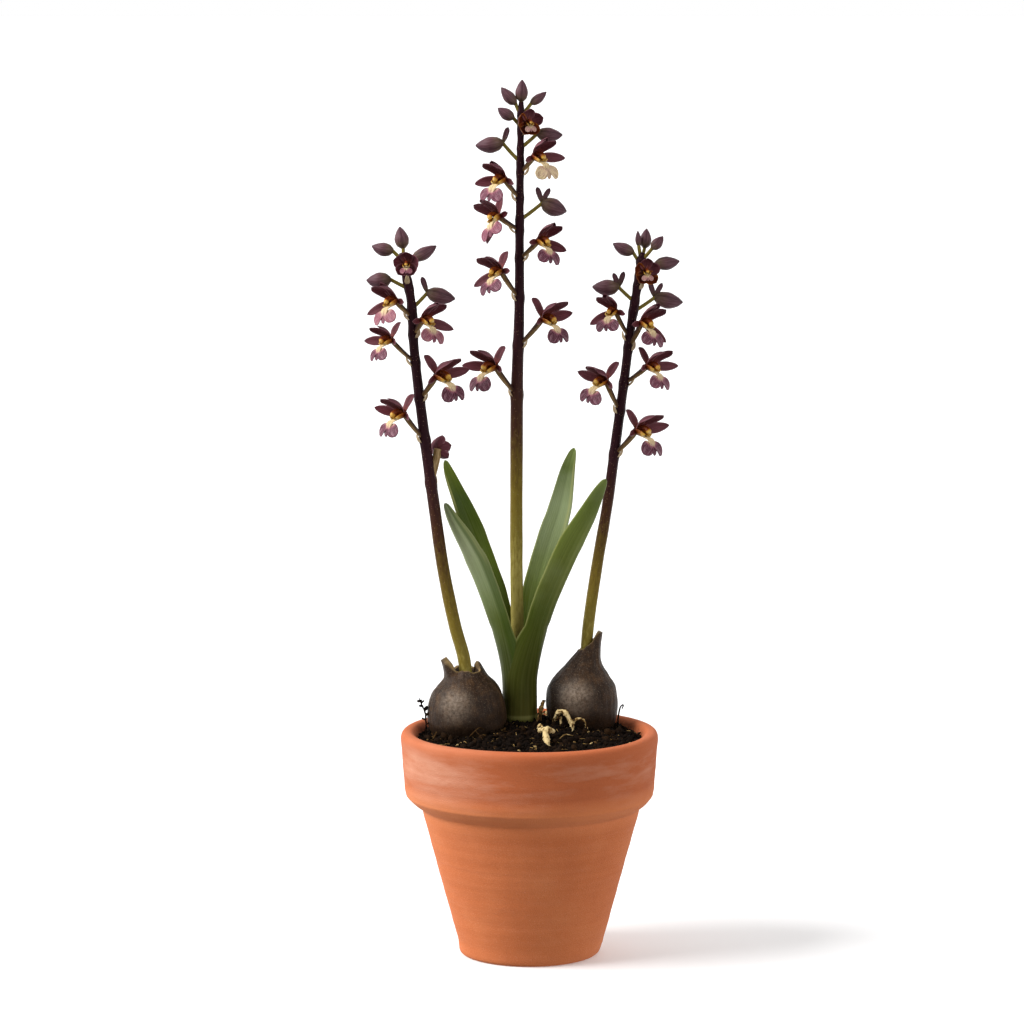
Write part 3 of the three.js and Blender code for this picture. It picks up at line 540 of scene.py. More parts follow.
def strewn(count, seed):
    """Random places on the bed, evenly thick all over, and clear of the shoot and the two stem bases. The
    square root of an even random number spreads the places evenly over a disc."""
    draw = draws(seed)
    far, turn = STREWN_REACH * np.sqrt(draw.uniform(0, 1, count)), draw.uniform(0, 2 * np.pi, count)
    x, y = far * np.cos(turn), far * np.sin(turn)
    clear = np.hypot(x - SHOOT[0], y - SHOOT[1]) > SHOOT_CLEARANCE
    for at in BULB_PLACES.values():
        clear &= np.hypot(x - at[0], y - at[1]) > BULB_CLEARANCE
    return x[clear], y[clear]


def scatter_lumps(count, size, tone, seed):
    """Lumps of a range of sizes and tones, each sunk halfway into the bed."""
    draw = draws(seed + 1)
    x, y = strewn(count, seed)
    sizes = draw.uniform(*size, len(x)) ** 1.3
    centres = np.stack([x, y, soil_height(x, y) + 0.25 * sizes], axis=1)
    reach = np.hypot(x, y) + sizes
    centres[:, :2] *= np.minimum(1, LUMP_REACH / reach)[:, None]
    return lumps(centres, sizes, draw.uniform(*tone, len(x)), seed + 2)


print("Of 1000 places drawn on the bed,", len(strewn(1000, 1)[0]), "are clear")


# %% Fibres
def fibre(start, heading, length, bow, radius, tone, rise):
    """A thin fibre that leaves a point of the bed, arches over by its rise, and bows sideways."""
    t = np.linspace(0, 1, 9)[:, None]
    ahead = np.array([np.cos(heading), np.sin(heading), 0.0])
    aside = np.array([-ahead[1], ahead[0], 0.0])
    line = np.array(start) + length * t * ahead + bow * np.sin(np.pi * t) * aside
    line = line + rise * np.sin(np.pi * t ** 0.8) * np.array([0.0, 0.0, 1.0])
    return skin(tube(line, radius * (1 - 0.6 * t[:, 0] ** 2), 5), 0, tone)


def scatter_fibres(count, seed):
    """Fibres of many lengths that lie every way, apart from those that would run into the pot's wall."""
    draw = draws(seed)
    x, y = strewn(count, seed + 1)
    made = []
    for at_x, at_y in zip(x, y):
        length, heading = draw.uniform(2, 7.5), draw.uniform(0, 2 * np.pi)
        end = np.array([at_x, at_y]) + length * np.array([np.cos(heading), np.sin(heading)])
        if np.hypot(*end) < FIBRE_REACH:
            start = (at_x, at_y, float(soil_height(np.array(at_x), np.array(at_y))) + 0.1)
            made.append(fibre(start, heading, length, draw.normal(0, 0.5), draw.uniform(0.09, 0.24),
                              draw.choice([0.1, 0.2, 0.3, 0.5, 0.85]), draw.uniform(0, 0.9)))
    return made


print("A fibre is", len(fibre((0, 0, 0), 0, 5, 0, 0.1, 0, 0.5)["quads"]), "faces round and along")

# %% Crumbs, bark and fibres
crumbs = add_piece("compost_crumbs", [
    scatter_lumps(3600, (0.45, 1.15), (0.0, 0.3), 31), scatter_lumps(500, (1.1, 1.9), (0.05, 0.4), 41),
    scatter_lumps(220, (0.4, 1.1), (0.6, 0.95), 51)], [peat])
fibres = add_piece("compost_fibres", scatter_fibres(620, 61), [peat])
print("Crumbs and fibres:", len(crumbs.data.polygons), "and", len(fibres.data.polygons), "faces")

# %% [markdown]
# A few larger things lie on the compost: a pale root that arches out of the right stem base, a broken piece
# of another root, twigs, and two dark sprigs of dead moss. Each is a tube along a smooth line through a few
# points, with a thickness that wanders. They use the compost's finish, at the pale or the dark end of it.

# %% Roots, twigs and sprigs
# The points of each, its thickest radius, how knobbly it is, and its tone
STRAYS = [
    ([[12.2, 17, 111], [12.5, 17, 114.7], [13.3, 14, 117.4], [15, 11, 120.8], [17.6, 9, 121.6],
      [19.6, 7.5, 119.2], [21.2, 6.5, 115.8], [22, 6, 111]], 1.25, 0.32, 1.05),
    ([[13.6, 13, 118.6], [15.4, 11.5, 117.8], [16.4, 11, 114]], 0.8, 0.35, 0.9),
    ([[21.8, 7, 114], [22.8, 6.5, 117.4], [25.6, 6, 118.4], [28, 6.5, 116.6], [29, 8, 112]], 0.7, 0.4, 0.85),
    ([[4.4, -15, 116.4], [8.2, -17, 117], [12.4, -15, 115.8]], 1.5, 0.28, 1.05),
    ([[7.4, -17, 116.6], [8.2, -20, 113.8], [8.9, -24, 111.4], [9.4, -25, 108.6]], 1.6, 0.22, 1.15),
    ([[6.6, -16, 118.2], [5.2, -14, 119], [4, -13, 117]], 0.7, 0.25, 0.95),
    ([[4.6, 15, 112], [5, 15, 117.5], [6.2, 15, 123], [7.4, 15, 126.4]], 1.2, 0.35, 0.7),
    ([[6.4, 15, 119], [8.2, 14, 120.6], [8.9, 13, 118.8]], 0.7, 0.35, 0.95),
    ([[-31.4, -8, 110.4], [-28.3, -10, 114.1], [-24.9, -6, 116.1], [-22.6, -4, 114.4]], 0.26, 0.1, 0.6),
    ([[-29.9, 0, 112], [-26.9, -6, 114], [-22.8, -14, 110.6]], 0.24, 0.1, 0.5),
    ([[-49.2, -6, 108.4], [-48, -6, 111.5], [-46.6, -5, 113.8]], 0.26, 0.1, 0.7),
    ([[-48, -6, 111.3], [-49.2, -6, 113.4]], 0.22, 0.1, 0.7),
    ([[13.7, -16, 111.2], [17.7, -12, 113.6], [22.3, -8, 112.2]], 0.28, 0.1, 0.95),
    ([[-52.2, 8, 107], [-52.3, 8, 116.4], [-52.8, 8, 121.5], [-54.8, 8, 126.1], [-55.8, 8, 128.7]],
     0.42, 0.35, 0.1),
    ([[-54.2, 8, 127.4], [-56.8, 8, 127]], 0.7, 0.35, 0.2),
    ([[-52.6, 8, 120], [-50.6, 8, 121]], 0.8, 0.4, 0.25),
    ([[-53, 8, 122.4], [-51.4, 8, 124.4]], 0.8, 0.35, 0.2),
    ([[-53.8, 8, 124.4], [-55.8, 8, 124.8]], 0.55, 0.35, 0.3),
    ([[-52.4, 8, 117.4], [-54.4, 8, 118.4]], 0.5, 0.35, 0.35),
    ([[-54.8, 8, 126], [-53.2, 8, 127.4]], 0.5, 0.3, 0.4),
    ([[-52.3, 8, 115], [-50.8, 8, 116]], 0.5, 0.35, 0.3),
    ([[45, 20, 108], [45.1, 20, 115.2], [45.6, 20, 119.3], [46.6, 20, 122.4], [47.9, 20, 123.1],
      [47.1, 20, 120.9]], 0.45, 0.2, 0.05),
]


def stray(points, radius, knobs, tone, seed):
    """A tube that tapers to both ends, with knobs where a smooth random wave is high. Its tone is darkest
    on the knobs, as bark is."""
    rows = 30
    line = smooth_line(points, rows)
    s = np.linspace(0, 1, rows)
    taper = 0.45 + 0.55 * np.sin(np.pi * (0.08 + 0.84 * s)) ** 0.7
    grid = tube(line, radius * taper * (1 + knobs * ripple(line, 2.6, seed)), 9)
    bark = 1.6 * knobs * np.clip(ripple(grid, 2.2, seed + 1), -0.2, 1.2)
    return skin(grid + 0.6 * radius * knobs * ripple(grid, 1.5, seed + 2)[..., None], 0, tone - bark)


add_piece("compost_roots", [stray(*row, 400 + at) for at, row in enumerate(STRAYS)], [peat])
print("Roots, twigs and sprigs:", len(STRAYS))

# %% [markdown]
# Each swollen stem base is wrapped in the dry skins of old leaves, dark brown and faintly fibrous, with a
# little wax that catches the light. The fibres run up from the soil to the neck, so the pattern follows the
# growth of the skin rather than space. Each base carries a painted highlight in one place, broken up by
# scurf, the right one carries a painted shadow of the shoot on the side next to it, and both are darker
# towards the soil. Where old leaves broke off, the edge is pale as straw.

# %% Finish of the stem bases
# Places in metres: the middle of each painted highlight, and of the painted shadow of the shoot
HIGHLIGHT_SPOTS = [(-0.038, -0.006, 0.127), (0.0235, 0.0095, 0.129)]
SHOOT_SHADOW_SPOT = (0.012, 0.018, 0.128)
# In mm: a patch of the skin's mottling, a grain of dust on it, and a flake of scurf
MOTTLE_PATCH, DUST_GRAIN, SCURF_GRAIN = 5, 0.55, 1.6


def make_bulb_skin():
    made, tree, place, growth, tone = new_finish(
        "Dry leaf skin over a pseudobulb, fibrous with a little wax")
    strands = node(tree, "Mapping", {"Vector": growth, "Scale": (95, 5, 1)})
    fibre_noise = node(tree, "TexNoise", {"Vector": strands.outputs[0], "Scale": 1.0, "Detail": 5.0,
                                          "Roughness": 0.65, "Distortion": 0.4})
    mottle = node(tree, "TexNoise", {"Vector": place, "Scale": per_mm(MOTTLE_PATCH), "Detail": 6.0,
                                     "Roughness": 0.7})
    dust = node(tree, "TexNoise", {"Vector": place, "Scale": per_mm(DUST_GRAIN), "Detail": 4.0,
                                   "Roughness": 0.7})
    body = node(tree, "ValToRGB", {"Fac": mottle.outputs["Fac"]},
                stops=[(0.34, "#180C05"), (0.68, "#503822"), (0.5, "#2A190E")])
    lines = node(tree, "ValToRGB", {"Fac": fibre_noise.outputs["Fac"]},
                 stops=[(0.32, "#160B05"), (0.7, "#5C442B")])
    fibrous = node(tree, "Mix", {"Factor": 0.22, 6: body.outputs[0], 7: lines.outputs[0]}, data_type="RGBA")
    # Painted highlight: a pale patch round each spot, broken up by scurf.
    near = [node(tree, "VectorMath", {0: place, 1: spot}, operation="DISTANCE").outputs["Value"]
            for spot in HIGHLIGHT_SPOTS]
    nearest = node(tree, "Math", {0: near[0], 1: near[1]}, operation="MINIMUM")
    highlight_falloff = node(tree, "MapRange", {"Value": nearest.outputs[0], "From Min": 0.001, "From Max": 0.013,
                                      "To Min": 1.0, "To Max": 0.0}, interpolation_type="SMOOTHSTEP")
    scurf = node(tree, "TexNoise", {"Vector": place, "Scale": per_mm(SCURF_GRAIN), "Detail": 6.0,
                                    "Roughness": 0.75})
    scurfy = node(tree, "MapRange", {"Value": scurf.outputs["Fac"], "From Min": 0.36, "From Max": 0.64,
                                     "To Min": 0.16, "To Max": 0.85})
    painted_light = node(tree, "Math", {0: highlight_falloff.outputs[0], 1: scurfy.outputs[0]}, operation="MULTIPLY")
    # Painted shadow: the shoot's shadow falls dark on the right base, on the side next to it.
    shadow_distance = node(tree, "VectorMath", {0: place, 1: SHOOT_SHADOW_SPOT}, operation="DISTANCE")
    shadow_share = node(tree, "MapRange", {"Value": shadow_distance.outputs["Value"], "From Min": 0.006, "From Max": 0.013,
                                  "To Min": 0.75, "To Max": 0.0}, interpolation_type="SMOOTHSTEP")
    shadowed = node(tree, "Mix", {"Factor": shadow_share.outputs[0], 6: fibrous.outputs[2], 7: linear("#150D08")},
                  data_type="RGBA")
    highlighted = node(tree, "Mix", {"Factor": painted_light.outputs[0], 6: shadowed.outputs[2], 7: linear("#A08E7C")},
                data_type="RGBA")
    spots = node(tree, "MapRange", {"Value": dust.outputs["Fac"], "From Min": 0.55, "From Max": 0.7,
                                    "To Min": 0.0, "To Max": 0.4})
    dusty = node(tree, "Mix", {"Factor": spots.outputs[0], 6: highlighted.outputs[2], 7: linear("#A08F78")},
                 data_type="RGBA")
    height = node(tree, "SeparateXYZ", {"Vector": place})
    # Darker towards the bottom, up from the soil past the belly.
    low = node(tree, "MapRange", {"Value": height.outputs["Z"], "From Min": 0.112, "From Max": 0.131,
                                  "To Min": 0.75, "To Max": 0.0})
    darker_low = node(tree, "Mix", {"Factor": low.outputs[0], 6: dusty.outputs[2], 7: linear("#1E140D")},
                  data_type="RGBA")
    torn = node(tree, "Mix", {"Factor": tone, 6: darker_low.outputs[2], 7: linear("#C9A870")}, data_type="RGBA")
    relief = node(tree, "Mix", {"Factor": 0.55, 2: fibre_noise.outputs["Fac"], 3: scurf.outputs["Fac"]})
    close_finish(tree, torn.outputs[2], 0.5, relief.outputs[0], 0.5, shine=0.14)
    return made


bulb_skin = make_bulb_skin()
print("Made", bulb_skin.name)

# %% [markdown]
# A stem base is a bellied vase. Its skin rises from the soil, swells, draws in to a neck, turns over a thin
# torn rim and goes down inside to the foot of the stalk. The rim isn't level: stubs of old leaves stand up
# from it. Building the stubs as separate cones would leave joints, so the height of the rim is a function of
# the direction instead, with a bump for each stub, and the whole skin stays one surface.

# %% Stem bases
BULB_FLATTENING = 0.94       # depth of a stem base over its width
INNER_RADIUS = 3.6           # where the inside of the skin meets the stalk
# Each row is a height, the radius there, and how far the skin stands to the right of its foot
BULB_SHAPES = {
    "left": [[104.5, 11, 0], [109, 17, 0], [115, 19.7, 0], [121, 19.9, 0], [127, 18.8, 0], [132, 17, 0],
             [136, 13.9, 0.7], [139.5, 10.5, 0], [142, 9, -0.3]],
    "right": [[104.5, 9.5, 0], [109, 14.5, 0], [115, 17.2, 0], [121, 18.2, 0], [127, 18, -0.2],
              [132, 17, -0.3], [137, 13.6, 0], [142, 9.7, 0.7], [146, 7.4, 1.8], [150, 5.7, 3.4]],
}
# Stubs round the rim: direction in degrees, half width in degrees, height, how far it leans out, thickness
STUBS = {
    "left": [[188, 34, 4.6, 3.6, 4.4], [182, 16, 0.9, 0.6, 0], [5, 32, 4.2, -2.4, 1.6],
             [262, 26, 0.6, -0.6, 0.2], [100, 34, 1.5, -1, 0.3]],
    "right": [[0, 110, 5.2, 0.1, 0.3], [-6, 56, 3.8, 1, 2.4]],
}


def stub_sum(name, turn, column):
    """The sum of flat-topped bumps round the rim, one for each stub, read from a column of the table. A bump
    is a bell curve with the fourth power of the angle in place of its square."""
    total = np.zeros_like(turn)
    for row in STUBS[name]:
        away = (np.degrees(turn) - row[0] + 180) % 360 - 180
        total += row[column] * np.exp(-((away / row[1]) ** 4))
    return total


def make_bulb(name):
    """The outer skin follows its table and climbs with the stubs near the top. Then comes the crest of the
    rim, and the inside falls in a curve to the stalk. Soft waves make the skin uneven, and upright ones make
    folds near the neck. The tone is high along the torn rim, in patches."""
    x, y = BULB_PLACES[name]
    sides = 150
    turn = 2 * np.pi * np.arange(sides) / sides
    shape = smooth_line(BULB_SHAPES[name], 78)
    height, radius, shift = shape[:, :1], shape[:, 1:2], shape[:, 2:]
    top, rim, off = height[-1, 0], radius[-1, 0], shift[-1, 0]
    lift, lean, thick = stub_sum(name, turn, 2), stub_sum(name, turn, 3), 0.9 + stub_sum(name, turn, 4)
    circle = np.stack([9 * np.cos(turn), 9 * np.sin(turn), 0 * turn], axis=-1)
    lift = lift + 0.35 * ripple(circle, 3.6, 70)
    climb = np.clip((height - top + 4.6) / 4.6, 0, 1) ** 2
    outer = np.stack([radius + climb * lean, height + climb * lift, shift * np.ones(sides)])
    over = np.linspace(0, 1, 18)[1:, None]
    fall = over ** 0.6
    inner = np.stack([(rim + lean - thick) * (1 - over) + INNER_RADIUS * over,
                      top + lift * (1 - fall) - 2.2 * fall ** 2, off * np.ones((len(over), sides))])
    crest = np.stack([rim + lean - 0.5 * thick, top + lift + 0.1 + 0.28 * thick, off * np.ones(sides)])
    r, z, side = np.concatenate([outer, crest[:, None], inner], axis=1)
    flat = np.stack([r * np.cos(turn), r * np.sin(turn), z], axis=-1)
    grain = 0.35 * ripple(flat, 11, 71) + 0.16 * ripple(flat * [1, 1, 0.15], 2.6, 72)
    folds = 0.3 * ripple(flat * [1, 1, 0.12], 7, 73) * np.clip((z - top + 22) / 20, 0, 1)
    swell = (grain + folds) * np.clip((z - 106) / 6, 0, 1)
    r = r + swell * (r > 6)
    grid = np.stack([x + side + r * np.cos(turn), y + BULB_FLATTENING * r * np.sin(turn), z], axis=-1)
    rows = np.arange(len(z))[:, None] - len(height)
    patchy = 0.5 + 0.5 * ripple(circle, 6, 74)
    torn = np.exp(-((rows - 0.5) / 0.9) ** 2) * np.clip(patchy, 0.05, 0.7)
    return add_piece("stem_base_" + name, [skin(grid, 0, torn)], [bulb_skin], "pseudobulb_" + name)


for name in BULB_SHAPES:
    bulb = make_bulb(name)
    print("The", name, "stem base is", round(bulb.dimensions.x / MM, 1), "mm wide")

# %% [markdown]
# Orchid leaves are thick straps with a waxy skin. Their veins run side by side from foot to tip, the margin
# is a thin pale line, and the wrapped foot is yellower than the blade. A pale bluish bloom lies on the upper
# half of a leaf, partly wax and partly painted sheen, and one leaf carries painted shade, a deep green, on
# its half next to the shoot. The pattern follows the leaf, so that the veins bend with it. Wax gives a soft,
# broad highlight rather than a sharp one.

# %% Leaf finish
VEINS_ACROSS = 26            # round the leaf, front and back together
WAX_PATCH = 13               # mm
SHADED_HALF = (0.79, 0.85)   # where the half with painted shade begins, as a share of the way round the leaf


def make_leaf_skin(name, shades, streaks, wax, wax_and_sheen_share, roughness, shaded_half_share=0.0):
    """One leaf's finish. Shades are the stops from foot to tip, streaks the dark and light lines along it,
    wax and wax_and_sheen_share the colour and share of its bluish bloom on the upper half, partly wax and
    partly painted sheen, and shaded_half_share the share of painted shade, a deep green, on the back's half
    next to the shoot."""
    made, tree, place, growth, tone = new_finish(name)
    split = node(tree, "SeparateXYZ", {"Vector": growth})
    around = node(tree, "Math", {0: split.outputs["X"], 1: VEINS_ACROSS * 2 * np.pi}, operation="MULTIPLY")
    vein = node(tree, "Math", {0: around.outputs[0]}, operation="SINE")
    veins = node(tree, "MapRange", {"Value": vein.outputs[0], "From Min": -1.0, "From Max": 1.0})
    long_grain = node(tree, "Mapping", {"Vector": growth, "Scale": (60, 3.5, 1)})
    streak = node(tree, "TexNoise", {"Vector": long_grain.outputs[0], "Scale": 1.0, "Detail": 4.0})
    patch = node(tree, "TexNoise", {"Vector": place, "Scale": per_mm(WAX_PATCH), "Detail": 3.0})
    blade = node(tree, "ValToRGB", {"Fac": split.outputs["Y"]}, stops=shades)
    lines = node(tree, "ValToRGB", {"Fac": streak.outputs["Fac"]}, stops=streaks)
    streaked = node(tree, "Mix", {"Factor": 0.2, 6: blade.outputs[0], 7: lines.outputs[0]}, data_type="RGBA")
    # A pale bloom on the upper half, partly wax and partly painted sheen.
    blown = node(tree, "MapRange", {"Value": patch.outputs["Fac"], "From Min": 0.4, "From Max": 0.7,
                                    "To Min": 0.0, "To Max": wax_and_sheen_share})
    upper = node(tree, "MapRange", {"Value": split.outputs["Y"], "From Min": 0.4, "From Max": 0.65})
    wax_and_sheen = node(tree, "Math", {0: blown.outputs[0], 1: upper.outputs[0]}, operation="MULTIPLY")
    waxy = node(tree, "Mix", {"Factor": wax_and_sheen.outputs[0], 6: streaked.outputs[2], 7: linear(wax)},
                data_type="RGBA")
    # Painted shade: the back's half next to the shoot is mixed towards a deep green.
    half = node(tree, "MapRange", {"Value": split.outputs["X"], "From Min": SHADED_HALF[0],
                                   "From Max": SHADED_HALF[1], "To Min": 0.0, "To Max": shaded_half_share},
                interpolation_type="SMOOTHSTEP")
    painted_light = node(tree, "Mix", {"Factor": half.outputs[0], 6: waxy.outputs[2], 7: linear("#42541A")},
                  data_type="RGBA")
    veined = node(tree, "MapRange", {"Value": veins.outputs[0], "To Min": 0.0, "To Max": 0.1})
    lined = node(tree, "Mix", {"Factor": veined.outputs[0], 6: painted_light.outputs[2], 7: linear("#22340C")},
                 data_type="RGBA")
    # The tone paints the pale margin and the scar, and the gleam, which is a painted highlight.
    edge = node(tree, "Mix", {"Factor": tone, 6: lined.outputs[2], 7: linear("#BDBB78")}, data_type="RGBA")
    relief = node(tree, "Mix", {"Factor": 0.4, 2: veins.outputs[0], 3: streak.outputs["Fac"]})
    close_finish(tree, edge.outputs[2], roughness, relief.outputs[0], 0.05, shine=0.08)
    return made


# The palest grey-green stops on the upper halves of the front left and back right leaves are partly wax and
# partly painted sheen.
leaf_skins = {
    "front_right": make_leaf_skin("Full-grown leaf, dull green", [
        (0.0, "#54481A"), (1.0, "#6E7E34"), (0.16, "#332E03"), (0.33, "#3A3F06"), (0.46, "#434F0C"),
        (0.6, "#666F2E"), (0.78, "#717E38"), (0.94, "#5A682A")],
        [(0.3, "#3C4A10"), (0.72, "#7A844A")], "#8A9468", 0.25, 0.5),
    "front_left": make_leaf_skin("Full-grown leaf, grey with wax", [
        (0.0, "#54481A"), (1.0, "#A8B488"), (0.2, "#302B02"), (0.36, "#3C4504"), (0.5, "#5E6C26"),
        (0.64, "#98A872"), (0.8, "#B8C296"), (0.92, "#AAB684")],
        [(0.3, "#56642C"), (0.72, "#9CA880")], "#A2AC8A", 0.3, 0.4, shaded_half_share=0.7),
    "back_right": make_leaf_skin("Young leaf, glossy", [
        (0.0, "#54481A"), (1.0, "#8A9A50"), (0.3, "#3A460A"), (0.46, "#66741C"), (0.58, "#84944E"),
        (0.7, "#9AA878"), (0.8, "#A2B082"), (0.93, "#647236")],
        [(0.3, "#56682C"), (0.72, "#9CAA80")], "#A4AE8C", 0.3, 0.34),
    "back_left": make_leaf_skin("Young leaf, deep green", [
        (0.0, "#54481A"), (1.0, "#76843A"), (0.3, "#363F06"), (0.5, "#4E5E16"), (0.62, "#566618"),
        (0.75, "#404E08"), (0.86, "#364808"), (0.96, "#66741E")],
        [(0.3, "#34440C"), (0.72, "#7A8650")], "#7C8A5C", 0.15, 0.36),
}
print("Made", len(leaf_skins), "leaf finishes")

# %% [markdown]
# A leaf begins as a sheath wrapped round the shoot and opens into a shallow trough. Both are arcs: across
# the sheath the arc is tight and nearly closed, and along the blade it opens out. So the leaf is a skin
# whose cross-section is an arc with two faces, and whose radius, opening and thickness change on the way up.
# It thins to a fine edge, its back has a low keel, and its margins wander a little.

# %% Leaf tables
# Height of the shoot's foot, the height over which a leaf opens, half the angle of a blade's arc, and how
# short the narrowing tip is
SHOOT_FOOT, LEAF_OPENING, LEAF_BEND, LEAF_TAPER = 106, 50, 24, 3.2
# Of each leaf: the centre its sheath wraps, the height of the sheath's top and of a scar, where its back
# looks at the foot and at the tip in degrees, the radius and half the angle of the sheath, half the width of
# the blade, its midrib, and a gleam, which is a painted highlight: its place across, the heights it runs
# between, and its strength
LEAVES = {
    "front_right": dict(
        centre=(-4.8, 24.5), top=136, scar=117, back=-55, face=-62, wrap=8, angle=110, half=6.8,
        gleam=(-0.5, 150, 225, 0.12), midrib=[
            [0.6, 17.6, 143], [2.8, 16.5, 156], [6.4, 15, 171], [13.6, 12.5, 190], [22.8, 10.5, 210],
            [29.4, 9.5, 222], [34.6, 9, 232.5], [38.3, 9, 240]]),
    "front_left": dict(
        centre=(-6, 25), top=134, scar=0, back=-130, face=-118, wrap=7, angle=85, half=5.9,
        gleam=(-0.8, 190, 228, 0.35), midrib=[
            [-11.2, 19.4, 143], [-13.8, 17.5, 158], [-16.8, 15.5, 170], [-25, 13.5, 193],
            [-30.6, 12.5, 205], [-37.9, 11, 218], [-42.5, 10, 227.7]]),
    "back_right": dict(
        centre=SHOOT, top=128, scar=0, back=30, face=72, wrap=4.1, angle=56, half=6.6,
        gleam=(0.74, 205, 250, 0.55), midrib=[
            [-1, 28, 142], [0.4, 30, 158], [3, 31.5, 178], [6.5, 32.5, 192], [10.8, 33, 206],
            [15.8, 34, 222], [20, 34, 243], [22.7, 34, 252.8]]),
    "back_left": dict(
        centre=SHOOT, top=128, scar=0, back=150, face=110, wrap=4.1, angle=56, half=5.6,
        gleam=(-0.8, 218, 243, 0.8), midrib=[
            [-10.6, 28, 142], [-12.6, 30, 158], [-16.8, 31, 177], [-23.4, 31.5, 196], [-30, 32, 214],
            [-34.4, 32, 225], [-41, 32, 241], [-42.8, 32, 246.8]]),
}
print("Tables are ready for", len(LEAVES), "leaves")


# %% Directions and smooth steps
def headed(direction, up=0.0):
    """The unit vector with a direction in degrees from +X, seen from above, raised by so many degrees."""
    turn, lift = np.radians(direction), np.radians(up)
    return np.stack([np.cos(turn) * np.cos(lift), np.sin(turn) * np.cos(lift),
                     np.sin(lift) + 0 * turn], axis=-1)


def smooth_step(value, low, high):
    """From 0 to 1 between low and high, level at both ends."""
    t = np.clip((value - low) / (high - low), 0, 1)
    return t * t * (3 - 2 * t)


print("A quarter of the way up, a smooth step has risen by", float(smooth_step(np.array(0.25), 0, 1)))


# %% Leaf skins
def leaf_tone(leaf, line, t):
    """The tone of a leaf's front: a thin line along both margins, a scar across the sheath at its height,
    and a gleam, which is a painted highlight: a narrow pale stripe along the blade that fades in and out."""
    height = line[:, 2:]
    margin = np.clip((np.abs(t) - 0.9) * 8, 0, 1) * 0.4 * np.ones((len(line), 1))
    scar = 0.5 * np.exp(-((height - leaf["scar"]) / 0.45) ** 2)
    at, low, high, strength = leaf["gleam"]
    run = smooth_step(height, low, low + 12) * (1 - smooth_step(height, high - 6, high))
    return np.maximum(np.maximum(margin, scar), strength * run * np.exp(-((t - at) / 0.09) ** 2))


def make_leaf(name, seed):
    """The middle line runs up the sheath and along the midrib. Over a height of LEAF_OPENING above the
    sheath, the back turns from its first direction to its last, half the width goes from the sheath's to the
    blade's, and the arc flattens to LEAF_BEND. The blade's half width narrows towards the tip by a square
    root, which rounds it. Front and rear are arcs of nearly the same radius about the same centre line."""
    leaf = LEAVES[name]
    rows, across = 150, 17
    foot = np.array([*leaf["centre"], SHOOT_FOOT]) + leaf["wrap"] * headed(leaf["back"])
    top = leaf["top"]
    sheath = [[foot[0], foot[1], z] for z in (SHOOT_FOOT, (SHOOT_FOOT + top) / 2, top)]
    line = smooth_line(sheath + leaf["midrib"], rows)
    forward = unit(np.gradient(line, axis=0))
    opened = smooth_step(line[:, 2], top - 4, top + LEAF_OPENING)
    outward = headed(leaf["back"] + (leaf["face"] - leaf["back"]) * opened)
    inward = unit((outward * forward).sum(axis=1)[:, None] * forward - outward)
    sideways = np.cross(forward, inward)
    left = np.clip((line[-1, 2] - line[:, 2]) / (line[-1, 2] - top), 0, 1)
    blade = leaf["half"] * np.sqrt(np.clip(left * LEAF_TAPER, 0, 1)) + 0.35
    angle = np.radians(leaf["angle"])
    reach = leaf["wrap"] * angle + (blade - leaf["wrap"] * angle) * np.clip(opened * 1.6, 0, 1)
    bend = angle + (np.radians(LEAF_BEND) - angle) * np.clip(opened * 1.4, 0, 1)
    radius = reach / bend
    t = np.linspace(-1, 1, across)
    wander = 0.25 * ripple(line, 26, seed)[:, None] * np.abs(t) ** 3 * opened[:, None]
    turn = bend[:, None] * t * (1 + 0.02 * ripple(line, 15, seed + 1)[:, None] * opened[:, None])
    thick = (0.28 + 0.72 * (1 - np.abs(t) ** 2.5)) * (0.45 + 0.55 * np.clip(left * 6, 0, 1))[:, None]
    keel = 0.45 * np.exp(-(t / 0.09) ** 2) * opened[:, None] * np.clip(left * 3, 0, 1)[:, None]
    groove = 0.25 * np.exp(-(t / 0.1) ** 2) * opened[:, None]

    def arc(r):
        return (line[:, None] + sideways[:, None] * (r * np.sin(turn))[..., None]
                + inward[:, None] * (radius[:, None] - r * np.cos(turn) + wander)[..., None])

    front, rear = arc(radius[:, None] + groove), arc(radius[:, None] + thick + keel)
    tone = leaf_tone(leaf, line, t)
    tone = np.concatenate([tone, tone[:, ::-1]], axis=1)
    grid = np.concatenate([front, rear[:, ::-1]], axis=1)
    return add_piece("strap_leaf_" + name, [skin(grid, 0, tone)], [leaf_skins[name]], "leaf_" + name)


for number, name in enumerate(LEAVES):
    leaf = make_leaf(name, 80 + 5 * number)
    print("Leaf", name, "reaches", round(max(v[2] for v in leaf.bound_box) / MM), "mm")

# %% [markdown]
# A flower stalk is olive where it leaves the base and turns brown and then nearly black-purple among the
# flowers, with fine pale dots. The buds share that dull purple, with an olive foot where the sepals are
# still closed. Each stalk carries a tone that says how far the colour has turned, so one finish serves all
# three, though they turn at different heights. Low on the middle stalk the tone is kept paler still, which
# is painted light where the leaves shade it. A stalk's skin is smooth and shines softly, and a bud's is
# duller.

# %% Stalk and bud finishes
DOT_SPACING = 1.6            # mm


